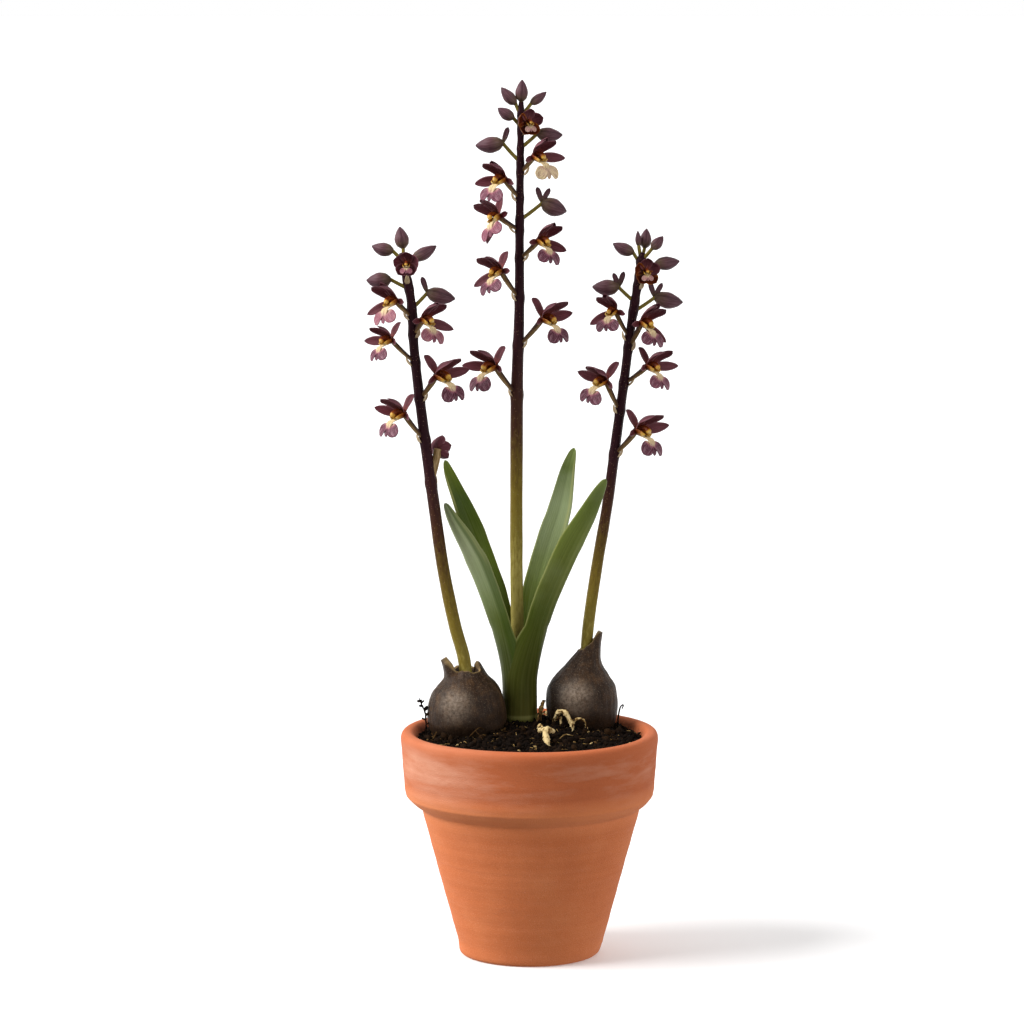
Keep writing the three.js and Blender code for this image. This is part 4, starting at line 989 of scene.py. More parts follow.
def make_stalk_skin():
    made, tree, place, growth, tone = new_finish("Flower stalk with a smooth cuticle")
    grain = node(tree, "Mapping", {"Vector": growth, "Scale": (14, 60, 1)})
    streak = node(tree, "TexNoise", {"Vector": grain.outputs[0], "Scale": 1.0, "Detail": 5.0,
                                     "Roughness": 0.6})
    dots = node(tree, "TexVoronoi", {"Vector": place, "Scale": per_mm(DOT_SPACING)})
    turning = node(tree, "MapRange", {"Value": streak.outputs["Fac"], "From Min": 0.3, "From Max": 0.7,
                                      "To Min": -0.09, "To Max": 0.09})
    turned = node(tree, "Math", {0: tone, 1: turning.outputs[0]}, operation="ADD")
    # The palest olive at the start of this ramp is reached mostly by the middle stalk, where it is painted
    # light.
    colour = node(tree, "ValToRGB", {"Fac": turned.outputs[0]},
                  stops=[(0.0, "#A89A52"), (1.0, "#260B13"), (0.14, "#7E7030"), (0.3, "#766426"),
                         (0.62, "#43291A"), (0.85, "#301419")])
    speck = node(tree, "MapRange", {"Value": dots.outputs["Distance"], "From Min": 0.12, "From Max": 0.2,
                                    "To Min": 0.35, "To Max": 0.0})
    dotted = node(tree, "Mix", {"Factor": speck.outputs[0], 6: colour.outputs[0], 7: linear("#9A7A60")},
                  data_type="RGBA")
    close_finish(tree, dotted.outputs[2], 0.42, streak.outputs["Fac"], 0.15, shine=0.07)
    return made


def make_bud_skin():
    made, tree, _, growth, tone = new_finish("Closed sepals of a bud")
    split = node(tree, "SeparateXYZ", {"Vector": growth})
    grain = node(tree, "Mapping", {"Vector": growth, "Scale": (46, 2.5, 1)})
    streak = node(tree, "TexNoise", {"Vector": grain.outputs[0], "Scale": 1.0, "Detail": 4.0})
    body = node(tree, "ValToRGB", {"Fac": split.outputs["Y"]},
                stops=[(0.0, "#5C5128"), (1.0, "#361A24"), (0.2, "#5C4A30"), (0.42, "#5A3A3C"),
                       (0.8, "#4E2A35")])
    lines = node(tree, "ValToRGB", {"Fac": streak.outputs["Fac"]},
                 stops=[(0.35, "#3A2228"), (0.7, "#8C6870")])
    lined = node(tree, "Mix", {"Factor": 0.4, 6: body.outputs[0], 7: lines.outputs[0]}, data_type="RGBA")
    seam = node(tree, "Mix", {"Factor": tone, 6: lined.outputs[2], 7: linear("#2B131C")}, data_type="RGBA")
    close_finish(tree, seam.outputs[2], 0.48, streak.outputs["Fac"], 0.15)
    return made


stalk_skin, bud_skin = make_stalk_skin(), make_bud_skin()
print("Made", stalk_skin.name, "and", bud_skin.name)

# %% [markdown]
# Each stalk is a tube along a smooth line. It has low ribs, and swells a little where a flower joins it.
# Buds are closed skins shaped like lemon pips: three sepals meet along seams, which are narrow grooves, and
# the tip is a small beak. From a bud that is nearly ready, one to three sepals stand off already. The stalk,
# its buds and their stems are one grown thing, so they are one piece.

# %% Stalk and bud tables
# Points on each stalk, its radius at some heights, and how far its colour has turned at some heights; low on
# the middle stalk that last also holds painted light
STALKS = {
    "left": dict(
        line=[[-31.6, 12, 134], [-33, 12, 148], [-37.5, 11, 165], [-43.5, 9.5, 195], [-48, 8, 227],
              [-53, 6, 265], [-57.5, 4, 305], [-59, 3, 330], [-62, 2, 346], [-63.5, 2, 354]],
        radii=[[134, 3.2], [200, 3.1], [270, 2.6], [345, 2.1], [354, 1.3]],
        turns=[[150, 0.14], [262, 1]]),
    "middle": dict(
        line=[[-5.5, 25, 106], [-6, 24.5, 158], [-6.5, 24, 202], [-6.5, 23, 245], [-6.3, 22.5, 285],
              [-5.2, 21.5, 324], [-5, 21, 366], [-4.5, 20, 409], [-4.2, 20, 428]],
        radii=[[106, 3.2], [278, 3.2], [325, 2.5], [400, 1.8], [428, 1.2]],
        # Painted light: the middle stalk's tone stays low near its foot, so it stays pale where the leaves
        # shade it.
        turns=[[150, 0], [190, 0.03], [222, 0.22], [265, 0.62], [330, 1]]),
    "right": dict(
        line=[[28.6, 27, 144], [30, 27, 162], [34.5, 28.5, 194], [39.5, 29.5, 224], [44.5, 31, 262],
              [48, 32, 288], [51.5, 33, 316], [54.5, 33.5, 335], [57, 34, 352]],
        radii=[[144, 3], [200, 2.9], [270, 2.5], [340, 2.1], [352, 1.3]],
        turns=[[165, 0.14], [262, 1]]),
}
# Of each bud: height of its foot, direction round the stalk, reach, rise, heading, degrees upwards, length,
# width, and how many sepals stand off
BUDS = {
    "left": [[350, 90, 2, 6, 130, 75, 11, 7.2, 0], [350, 170, 5, 5, 175, 12, 11, 7, 0],
             [347, 10, 4, 4, 5, 28, 13.5, 6.6, 0], [336, 185, 9, 5, 180, -3, 12.2, 8.4, 0],
             [326, 5, 7.5, 8.5, 0, -14, 14.5, 8.4, 1]],
    "middle": [[424, 90, 1, 4, 60, 84, 11, 6.4, 0], [421, 170, 2.5, 6, 180, 48, 11, 6, 0],
               [421, 20, 5, 6, 10, 36, 10, 4.8, 0], [416, -150, 4, 4, -170, 32, 9.5, 6, 0],
               [405, 0, 8, 7.5, 0, -4, 13, 7.6, 0], [398, 180, 8.5, 10, 180, -7, 14, 8.4, 1],
               [369, 15, 11.5, 9, 10, -21, 13.5, 9.2, 3]],
    "right": [[348, 60, 3.5, 6, 60, 78, 10, 6, 0], [348, 150, 1.5, 7, 150, 86, 8, 3.2, 0],
              [348, -20, 5.5, 6, 0, 48, 8.5, 5.6, 0], [346, 170, 3.5, 6, 175, 23, 11.5, 6.6, 0],
              [341, 5, 8, 5.5, 5, 5, 12.5, 7, 0], [327, 180, 8, 8, 180, -1, 13.5, 8.4, 2],
              [322, 20, 11.5, 7.5, 10, -12, 15, 8.6, 2]],
}
# Outlines: [share of the length, share of the width]
BUD_PROFILE = [[0, 0.3], [0.08, 0.55], [0.2, 0.84], [0.48, 1], [0.8, 0.62], [0.93, 0.3], [1, 0.1]]
EAR_SHARES = [[0, 0.5], [0.3, 0.9], [0.7, 1], [0.92, 0.66], [1, 0.1]]
BLADE_ROWS, BLADE_COLUMNS, BLADE_THICKNESS = 22, 9, 0.55
print("Tables are ready for", sum(len(rows) for rows in BUDS.values()), "buds")


# %% Places on a stalk
def stalk_line(name, count=200):
    """Points along a stalk's middle."""
    return smooth_line(STALKS[name]["line"], count)


def place_on(name, height, direction, reach, rise):
    """The foot of a flower inside its stalk, its own middle, and the bowed path between them."""
    line = stalk_line(name)
    foot = np.array([np.interp(height, line[:, 2], axis) for axis in line.T])
    outward = headed(direction)
    heart = foot + reach * outward + np.array([0, 0, rise])
    bow = (foot + heart) / 2 + 0.1 * reach * outward
    return foot, heart, bow


print("The middle stalk is", round(float(stalk_line("middle")[-1, 2])), "mm high")


# %% Blades and turns
def blade(length, width, curl, shares, cup=0.28, rows=BLADE_ROWS, across=BLADE_COLUMNS, wave=0.0, seed=0):
    """A petal from the origin along +Z with its face to -Y. Its half width follows the shares along its
    length, its middle line bends forward by the curl, its edges rise by the cup, it thins towards them, and
    they wave by so many millimetres."""
    s, t = np.linspace(0, 1, rows)[:, None], np.linspace(-1, 1, across)
    bend = np.radians(curl) * s
    half = width / 2 * np.maximum(read_curve(shares, s), 0.02)
    middle = np.stack([0 * bend, -length * s * np.sin(bend / 2), length * s * np.cos(bend / 2)], axis=-1)
    face = np.stack([0 * bend, -np.cos(bend), -np.sin(bend)], axis=-1)
    draw = draws(seed)
    lift = cup * half * np.abs(t) ** 1.7 - 0.22 * np.exp(-(t / 0.16) ** 2) * np.sin(np.pi * s)
    lift = lift + wave * np.abs(t) ** 2 * np.sin(9 * s + draw.uniform(0, 6) + 2 * np.sign(t))
    thick = BLADE_THICKNESS * (0.4 + 0.6 * (1 - t ** 2)) * (1 - 0.5 * s ** 4)
    flat = middle + np.stack([half * t, 0 * s * t, 0 * s * t], axis=-1)
    front = flat + face * (lift + thick / 2)[..., None]
    rear = flat + face * (lift - thick / 2)[..., None]
    return np.concatenate([front, rear[:, ::-1]], axis=1)


def about_x(degrees):
    """The matrix that turns points by so many degrees about X."""
    c, s = np.cos(np.radians(degrees)), np.sin(np.radians(degrees))
    return np.array([[1, 0, 0], [0, c, -s], [0, s, c]])


def about_y(degrees):
    """The matrix that turns points by so many degrees about Y."""
    c, s = np.cos(np.radians(degrees)), np.sin(np.radians(degrees))
    return np.array([[c, 0, s], [0, 1, 0], [-s, 0, c]])


def about_z(degrees):
    """The matrix that turns points by so many degrees about Z."""
    c, s = np.cos(np.radians(degrees)), np.sin(np.radians(degrees))
    return np.array([[c, -s, 0], [s, c, 0], [0, 0, 1]])


print("A blade is a grid of", blade(10, 4, 0, BUD_PROFILE).shape[:2], "points")


# %% Buds
def make_bud(name, row):
    """A tube along the bud's axis, which sags a little. Its radius follows the profile, with a groove on
    each of the three seams and fine ribs between them. The sepals that stand off are small blades."""
    height, direction, reach, rise, heading, up, length, width, ears = row
    foot, heart, bow = place_on(name, height, direction, reach, rise)
    axis = headed(heading, up)
    rows, sides = 30, 24
    s = np.linspace(0, 1, rows)
    turn = 2 * np.pi * np.arange(sides) / sides
    seam = np.exp(-((((turn * 3 / (2 * np.pi) + 0.5) % 1) - 0.5) / 0.07) ** 2)
    ribs = 1 - 0.07 * seam + 0.012 * np.cos(15 * turn)
    radius = width / 2 * read_curve(BUD_PROFILE, s)[:, None] * ribs
    sag = 0.04 * length * np.sin(np.pi * s)[:, None] * np.array([0, 0, -1.0])
    body = tube(heart + length * s[:, None] * axis + sag, radius, sides)
    stem_line = bend_between(foot, bow, heart + 0.6 * axis, 12)
    stem = tube(stem_line, np.linspace(1.0, 0.9, 12), 10)
    parts = [skin(body, 1, 0.6 * seam * np.ones((rows, 1))), skin(stem, 0, 0.18)]
    for number, tilt in enumerate((-18, 30, 84)[:ears]):
        ear = blade(8, 2.8, 14, EAR_SHARES, rows=12, across=5)
        stood = about_z(25 * number) @ about_y(tilt * np.sign(axis[0]))
        parts.append(skin(ear @ stood.T + heart, 1, 0.15))
    return parts


print("The lowest bud on the right has", len(make_bud("right", BUDS["right"][-1])), "skins")


# %% Stalks
def make_stalk(name, seed):
    """A tube whose radius follows its table, with a bulge at each knot where a bud or flower joins it, and
    seven low ribs that wind slowly round it."""
    stalk, sides = STALKS[name], 24
    line = stalk_line(name, 220)
    heights, radii = np.array(stalk["radii"], float).T
    turn = 2 * np.pi * np.arange(sides) / sides
    knots = [row[0] for row in BUDS[name] + BLOOMS[name]]
    swell = sum(0.35 * np.exp(-((line[:, 2] - z) / 2.2) ** 2) for z in knots)
    radius = np.interp(line[:, 2], heights, radii) + swell
    ribs = 1 + 0.025 * np.cos(7 * turn + line[:, 2:] / 40) + 0.02 * ripple(line, 17, seed)[:, None]
    tone = np.interp(line[:, 2], *np.array(stalk["turns"], float).T)[:, None]
    parts = [skin(tube(line, radius[:, None] * ribs, sides), 0, tone)]
    for row in BUDS[name]:
        parts += make_bud(name, row)
    return parts


print("The stalks are made when the flowers' places are known, because they swell there")

# %% [markdown]
# The flowers' colours: sepals and petals are purple-brown, darker and redder on the face, duller outside,
# with fine lines along them and paler margins, partly pink rims of their own and partly painted sheen. The
# throat and column glow amber. The lip starts as a cream claw and ends in purple lobes. The stem below each
# flower, its ovary, is olive-brown above and pale below, partly its own colour and partly a painted
# highlight. All of these follow the growth of each blade, so one finish paints both its faces. Petals are
# soft and hardly shine, and the waxy throat shines a little more.

# %% Flower finishes
BLOT_WIDTH = 1.3         # mm across a blot of the throat


def make_petal_skin():
    made, tree, _, growth, tone = new_finish("Sepals and petals, soft living tissue")
    split = node(tree, "SeparateXYZ", {"Vector": growth})
    behind = node(tree, "Math", {0: split.outputs["X"], 1: 0.5}, operation="GREATER_THAN")
    face = node(tree, "ValToRGB", {"Fac": split.outputs["Y"]},
                stops=[(0.0, "#8A4A16"), (1.0, "#42141E"), (0.2, "#7A2C12"), (0.42, "#4C1416"),
                       (0.8, "#501822")])
    back = node(tree, "ValToRGB", {"Fac": split.outputs["Y"]},
                stops=[(0.0, "#6A4238"), (1.0, "#401A24"), (0.35, "#5C2C34"), (0.8, "#52222E")])
    grain = node(tree, "Mapping", {"Vector": growth, "Scale": (44, 2.2, 1)})
    streak = node(tree, "TexNoise", {"Vector": grain.outputs[0], "Scale": 1.0, "Detail": 4.0})
    sides = node(tree, "Mix", {"Factor": behind.outputs[0], 6: face.outputs[0], 7: back.outputs[0]},
                 data_type="RGBA")
    lines = node(tree, "ValToRGB", {"Fac": streak.outputs["Fac"]},
                 stops=[(0.35, "#300E13"), (0.7, "#8E4E5A")])
    lined = node(tree, "Mix", {"Factor": 0.3, 6: sides.outputs[2], 7: lines.outputs[0]}, data_type="RGBA")
    # Paler margins: partly the blades' own pink rims, partly painted sheen.
    paler = node(tree, "Mix", {"Factor": tone, 6: lined.outputs[2], 7: linear("#9A6A72")}, data_type="RGBA")
    close_finish(tree, paler.outputs[2], 0.45, streak.outputs["Fac"], 0.2, shine=0.1)
    return made


def make_throat_skin():
    made, tree, place, _, tone = new_finish("Column and throat, waxy amber tissue")
    blot = node(tree, "TexNoise", {"Vector": place, "Scale": per_mm(BLOT_WIDTH), "Detail": 3.0})
    turning = node(tree, "MapRange", {"Value": blot.outputs["Fac"], "From Min": 0.3, "From Max": 0.7,
                                      "To Min": -0.12, "To Max": 0.12})
    turned = node(tree, "Math", {0: tone, 1: turning.outputs[0]}, operation="ADD")
    amber = node(tree, "ValToRGB", {"Fac": turned.outputs[0]},
                 stops=[(0.0, "#3A0F0C"), (1.0, "#EBD9B4"), (0.25, "#6E2C10"), (0.5, "#AA6A1C"),
                        (0.75, "#DDB050")])
    close_finish(tree, amber.outputs[0], 0.35, blot.outputs["Fac"], 0.1)
    return made


def make_lip_skin():
    made, tree, _, growth, tone = new_finish("Lip, cream claw with purple lobes")
    grain = node(tree, "Mapping", {"Vector": growth, "Scale": (30, 3, 1)})
    streak = node(tree, "TexNoise", {"Vector": grain.outputs[0], "Scale": 1.0, "Detail": 3.0})
    turning = node(tree, "MapRange", {"Value": streak.outputs["Fac"], "From Min": 0.3, "From Max": 0.7,
                                      "To Min": -0.12, "To Max": 0.12})
    turned = node(tree, "Math", {0: tone, 1: turning.outputs[0]}, operation="ADD")
    colour = node(tree, "ValToRGB", {"Fac": turned.outputs[0]},
                  stops=[(0.0, "#E8D2A2"), (1.0, "#4A1A2B"), (0.25, "#CCAE98"), (0.42, "#B48480"),
                         (0.6, "#8A4A58"), (0.82, "#632C3E")])
    fine = node(tree, "Mapping", {"Vector": growth, "Scale": (70, 2, 1)})
    vein = node(tree, "TexNoise", {"Vector": fine.outputs[0], "Scale": 1.0, "Detail": 2.0})
    where = node(tree, "MapRange", {"Value": vein.outputs["Fac"], "From Min": 0.5, "From Max": 0.62,
                                    "To Min": 0.0, "To Max": 0.6})
    dark_on_pale = node(tree, "ValToRGB", {"Fac": tone}, stops=[(0.3, "#743018"), (0.55, "#B08490")])
    veined = node(tree, "Mix", {"Factor": where.outputs[0], 6: colour.outputs[0],
                                7: dark_on_pale.outputs[0]}, data_type="RGBA")
    close_finish(tree, veined.outputs[2], 0.5, streak.outputs["Fac"], 0.1)
    return made


def make_ovary_skin():
    made, tree, _, growth, tone = new_finish("Ovary stem and papery bract")
    grain = node(tree, "Mapping", {"Vector": growth, "Scale": (18, 3, 1)})
    streak = node(tree, "TexNoise", {"Vector": grain.outputs[0], "Scale": 1.0, "Detail": 4.0})
    turning = node(tree, "MapRange", {"Value": streak.outputs["Fac"], "From Min": 0.3, "From Max": 0.7,
                                      "To Min": -0.18, "To Max": 0.18})
    turned = node(tree, "Math", {0: tone, 1: turning.outputs[0]}, operation="ADD")
    colour = node(tree, "ValToRGB", {"Fac": turned.outputs[0]},
                  stops=[(0.0, "#2C1A14"), (1.0, "#D9C4A0"), (0.3, "#4A3020"), (0.55, "#7C6238"),
                         (0.78, "#B89A70")])
    close_finish(tree, colour.outputs[0], 0.45, streak.outputs["Fac"], 0.12)
    return made


petal_skin, throat_skin, lip_skin, ovary_skin = (
    make_petal_skin(), make_throat_skin(), make_lip_skin(), make_ovary_skin())
print("Made", petal_skin.name, "and three more")

# %% [markdown]
# Each flower has five outer blades, and none of them lies flat. The back sepal leans back towards the stalk,
# or is folded over the top in a flower that has just opened. The two petals arch forward as a pair and
# shelter the column. One side sepal reaches far out, and the other is short and seen edge-on. Under the
# column lies a gutter of amber tissue, the throat. One rule draws them all, and a row of numbers gives each
# flower its place, its turn and its stage. The topmost flower of each stalk has only begun to open. The
# lowest flower on the left faces away: it has closed, and its ovary is ripening.

# %% Flower tables
# Height of the foot, direction round the stalk, reach, rise, turn of the face, roll, size, folded from 0 to
# 1, how far the long sepal rises in degrees, and how purple the lip is from 0 to 1
BLOOMS = {
    "left": [[340, -90, 7, 9, -5, 0, 0.62, 0, 10, 0.5], [322, -140, 10.5, 8.5, -40, 12, 1, 1, -22, 0.5],
             [313, -50, 7.5, 8, 40, -12, 1, 1, -7, 0.5], [299, -150, 13.5, 12, -50, 8, 0.9, 0, 3, 0.85],
             [281, -35, 10.5, 12, 48, 2, 1.1, 0, 9, 1], [260, -145, 12.5, 14, -50, 2, 1, 0, 16, 0.85],
             [238, 15, 3.8, 17.5, 150, 0, 0.55, 1, -20, 0.7]],
    "middle": [[413, -50, 5, 5, 25, 0, 0.62, 1, 0, 0.25], [393, -30, 8, 8, 40, 0, 1, 1, -4, 0],
               [380, -145, 9.5, 10, -40, 0, 1, 1, -9, 0.75], [364, -160, 11, 7, -40, 28, 1, 0, -60, 0.6],
               [350, -35, 11.5, 9, 40, -12, 1, 1, -14, 0.8], [330, -140, 12, 14, -42, 16, 1, 0, -20, 0.8],
               [306, -25, 13.5, 14, 48, 0, 1.05, 0, 13, 1], [281, -150, 12.5, 15, -48, 4, 1.08, 0, 3, 0.85]],
    "right": [[335, -55, 6.5, 8, 15, 0, 0.62, 1, 55, 0.3], [309, -150, 8.5, 14, -32, 6, 0.9, 1, -27, 0.85],
              [304, -40, 8.5, 13, 40, -12, 1.02, 1, -38, 0.8], [286, -20, 12.5, 9, 45, -10, 1, 0, 12, 0.7],
              [272, -140, 9.5, 16, -45, -8, 1, 0, 8, 0.85], [250, -35, 13.5, 13, 48, -6, 1.1, 0, 13, 0.85]],
}
POINTED = [[0, 0.2], [0.16, 0.5], [0.4, 0.96], [0.6, 1], [0.8, 0.74], [0.93, 0.4], [1, 0.04]]
BLUNT = [[0, 0.3], [0.2, 0.7], [0.45, 0.98], [0.7, 1], [0.88, 0.78], [0.97, 0.4], [1, 0.08]]
BRACT_SHARES = [[0, 0.6], [0.3, 1], [0.7, 0.7], [1, 0.08]]
IN_FULL_BLOOM = 1.05         # every flower is this much larger than its blades' lengths say
YOUNG_SIZE = 0.65            # a smaller flower has only begun to open, or has closed again
PALE_LIP = 0.4               # a young flower whose lip is paler than this has amber blades too
print("Tables are ready for", sum(len(rows) for rows in BLOOMS.values()), "flowers")


# %% Outer blades
def petals_for(side, folded, sepal_rise):
    """Angle in the flower's plane, forward lean, curl, length, width and outline of each blade: the back
    sepal, the two petals, the long sepal and the short one. Side is 1 where the flower faces right."""
    return [(90 + 10 * side * (1 - folded), 45 * folded - 25, 58 * folded - 8, 10.5 + 3 * folded,
             4.8 + 0.6 * folded, BLUNT),
            (113, 22, 66, 14.5, 5.6, BLUNT),
            (67, 22, 66, 14.5, 5.6, BLUNT),
            (90 - 90 * side + side * sepal_rise, 38, -12, 14.9, 4.8, POINTED),
            (90 + 90 * side + 12 * side, 10, 26, 9.5, 3, POINTED)]


def closed_petals(folded):
    """The same list for a flower that has only begun to open: short blades that curl into a ball, or into a
    ring where folded is 0."""
    lean, curl = -32 + 22 * (1 - folded), 128 - 34 * (1 - folded)
    return [(90 + 72 * at, lean, curl, 12.5, 10.4, BLUNT) for at in range(5)]


def rim_and_sheen_tone():
    """0 in the middle of a blade and 1 at both margins, for its front and its back. The paler margins are
    partly the blades' own pink rims and partly painted sheen.
    """
    start = 0.72
    t = np.abs(np.linspace(-1, 1, BLADE_COLUMNS))
    rim = np.clip((t - start) / (1 - start), 0, 1)
    return np.concatenate([rim, rim]) * np.ones((BLADE_ROWS, 1))


def outer_blades(blades, amber, seed):
    """The blades of a list round the origin, as (grid, material, tone). Each is drawn upright, leans forward
    about X and turns in the flower's plane about Y, with all its numbers a little off. Of an amber flower,
    three blades show the colour of the throat."""
    draw, made = draws(seed), []
    for at, (angle, lean, curl, length, width, shares) in enumerate(blades):
        grid = blade(length * draw.uniform(0.95, 1.05), width * draw.uniform(0.95, 1.05),
                     curl + draw.uniform(-6, 6), shares, cup=0.36 if at < 3 else 0.24, wave=0.14,
                     seed=seed + at)
        leaned = about_y(90 - angle + draw.uniform(-3, 3)) @ about_x(lean)
        tone = 0.55 * rim_and_sheen_tone() + draw.uniform(0, 0.2)
        made.append((grid @ leaned.T, int(amber and at in (1, 2, 3)), 0.1 + 0.5 * tone if amber else tone))
    return made


print("An open flower has", len(outer_blades(petals_for(1, 0, 0), False, 0)), "outer blades")


# %% Column and throat
def make_column():
    """A short rod that arches over the throat, as (grid, material, tone). It is dark, and pale at the
    tip."""
    rows, sides = 16, 12
    s = np.linspace(0, 1, rows)
    line = smooth_line([[0, 0, 0.6], [0, -4, 1.6], [0, -6.6, 0.4], [0, -7.4, -0.9]], rows)
    radius = read_curve([[0, 1.5], [0.5, 1.15], [0.85, 1.25], [1, 0.6]], s)
    return tube(line, radius, sides), 1, 0.22 + 0.52 * smooth_step(s, 0.78, 0.9)[:, None]


def make_throat():
    """A gutter from the heart of the flower to the root of the lip, hung under a line in the YZ plane. Each
    cross-section is an arc, so many degrees to each side of straight down, with an inner and an outer face.
    It runs from dark red at the heart and along its upper edges to cream at the outer end, and comes back
    as (grid, material, tone)."""
    rows, thickness = 14, 0.5
    s, t = np.linspace(0, 1, rows), np.linspace(-1, 1, 11)
    line = smooth_line([[0, 0.8, 0.3], [0, -2.5, 0.2], [0, -5, -0.1], [0, -6.9, -0.7]], rows)
    radius = read_curve([[0, 1.2], [0.3, 2.2], [0.75, 2.6], [1, 2.5]], s)[:, None, None]
    turn = np.radians(118 - 38 * s)[:, None] * t
    side = np.array([1.0, 0, 0])
    up = np.cross(unit(np.gradient(line, axis=0)), side)[:, None]

    def arc(r):
        return line[:, None] + r * np.sin(turn)[..., None] * side - r * np.cos(turn)[..., None] * up

    inner, outer = arc(radius - thickness / 2), arc(radius + thickness / 2)
    tone = 0.72 * s[:, None] ** 1.3 + 0.3 * s[:, None] * (1 - t ** 2)
    return (np.concatenate([inner, outer[:, ::-1]], axis=1), 1,
            np.concatenate([tone * 0.9, tone[:, ::-1]], axis=1))


print("The throat reaches", round(-float(make_throat()[0][..., 1].min()), 1), "mm forward")


# %% Ovary, bract and whole flower
def ovary_and_bract(foot, heart, bow, direction, thickness, ripening):
    """The ovary is a tube from the stalk to the flower, with three ribs that wind round it, and widest near
    the flower. It is dark above and pale below, partly its own colour and partly a painted highlight, or tan
    all over where it ripens. The bract is a small blade under its foot that leans out along it."""
    rows, sides = 20, 14
    s = np.linspace(0, 1, rows)
    around = 2 * np.pi * np.arange(sides) / sides
    radius = thickness * read_curve([[0, 0.8], [0.3, 1.1], [0.75, 1.35], [1, 1.3]], s)
    twist = 1 + 0.09 * np.cos(3 * around + 2.4 * s[:, None])
    ovary = tube(bend_between(foot, bow, heart, rows), radius[:, None] * twist, sides)
    # Pale underneath: partly the ovary's own colour and partly a painted highlight.
    below = -unit(ovary - ovary.mean(axis=1, keepdims=True))[..., 2]
    tone = 0.66 if ripening else np.clip(0.25 + 0.65 * below, 0, 1)
    out_x, out_y, rise = heart - foot
    outward, tip = np.degrees([np.arctan2(out_y, out_x), np.arctan2(np.hypot(out_x, out_y), rise)])
    under = about_z(outward + 90) @ about_x(tip * 0.9)
    start = foot + 2.4 * headed(direction) - np.array([0, 0, 1.2])
    bract = blade(5.2, 2.6, -16, BRACT_SHARES, rows=10, across=5)
    return [skin(ovary, 2, tone), skin(bract @ under.T + start, 2, 0.9)]


def make_flower(name, number, row):
    """The outer blades, column and throat are made round the origin. Then they roll about the flower's own
    axis, turn about the upright one, grow to the flower's size and move to its place."""
    height, direction, reach, rise, turn, roll, size, folded, sepal_rise, purple = row
    foot, heart, bow = place_on(name, height, direction, reach, rise)
    pose = about_z(turn) @ about_y(-roll) * size * IN_FULL_BLOOM
    young, ripening = size < YOUNG_SIZE, abs(turn) > 90
    blades = closed_petals(folded) if young else petals_for(np.sign(turn), folded, sepal_rise)
    made = outer_blades(blades, young and purple < PALE_LIP, 1000 + 100 * len(name) + 10 * number)
    parts = [skin(grid @ pose.T + heart, paint, tone)
             for grid, paint, tone in made + [make_column(), make_throat()]]
    parts += ovary_and_bract(foot, heart, bow, direction, 1.5 if ripening else max(size, 0.8), ripening)
    return add_piece(f"flower_{name}_{number}", parts, [petal_skin, throat_skin, ovary_skin],
                     f"bloom_{name}_{number}")


print("The lowest flower on the right stands", round(float(np.hypot(*BLOOMS["right"][-1][2:4])), 1),
      "mm from its stalk")

# %% [markdown]
# The lip hangs from the throat on a narrow pale claw. It splits into two big round lobes, with a small dark
# tongue between them. It is drawn flat first, where its outline is easy to plan, and then one formula bends
# every point of it forward and down, as a leaf bends under its own weight.

# %% Bent blades of a lip
# The root's distance forward and height, the slope in degrees there and at the tip, the length between them,
# how much the lobes sweep back, and the thickness
LIP_ROOT, LIP_SLOPE, LIP_LENGTH, LIP_SWEEP, LIP_THICKNESS = (5.9, -2.0), (38, 78), 9.4, 0.022, 0.6
LIP_ROWS, LIP_COLUMNS = 20, 11
YOUNG_LIP = 0.68             # the size of a young flower's lip over that of a grown one's


def lip_bend(x, down, depth):
    """Bends a flat lip below the column. A point goes forward and down along a chord whose slope steepens
    with its distance from the root, and the lobes sweep back with the square of their distance out."""

    def slope(at):
        return np.radians(LIP_SLOPE[0] + (LIP_SLOPE[1] - LIP_SLOPE[0]) * at / LIP_LENGTH)

    chord, lift = slope(down / 2), depth - LIP_SWEEP * x ** 2
    forward = LIP_ROOT[0] + down * np.cos(chord) + lift * np.sin(slope(down))
    up = LIP_ROOT[1] - 0.8 - down * np.sin(chord) + lift * np.cos(slope(down))
    return np.stack([x, -forward, up], axis=-1)


def lip_blade(start, stop, width, shares, ridge=0.0, cup=0.6):
    """A flat blade from start to stop in the plane of the lip, bent with it. The ridge is the height of two
    keels along its middle, and the cup is how far its margins rise."""
    s, t = np.linspace(0, 1, LIP_ROWS)[:, None], np.linspace(-1, 1, LIP_COLUMNS)
    start, stop = np.array(start, float), np.array(stop, float)
    ahead = unit(stop - start)
    half = width / 2 * np.maximum(read_curve(shares, s), 0.03)
    x = start[0] + (stop - start)[0] * s + half * t * ahead[1]
    down = start[1] + (stop - start)[1] * s - half * t * ahead[0]
    lift = cup * t ** 2 * np.sin(np.pi * s)
    keels = ridge * (np.exp(-((t - 0.35) / 0.16) ** 2) + np.exp(-((t + 0.35) / 0.16) ** 2)) * np.sin(
        np.pi * np.clip(s * 1.2, 0, 1))
    thick = LIP_THICKNESS * (0.5 + 0.5 * (1 - t ** 2)) * np.ones_like(s)
    top = lip_bend(x, down, 0.4 + thick / 2 + keels + lift)
    under = lip_bend(x, down, 0.4 - thick / 2 + lift)
    return np.concatenate([top, under[:, ::-1]], axis=1)


print("A lip's tip hangs", round(-float(lip_bend(0, LIP_LENGTH, 0)[2]), 1), "mm below the flower's middle")

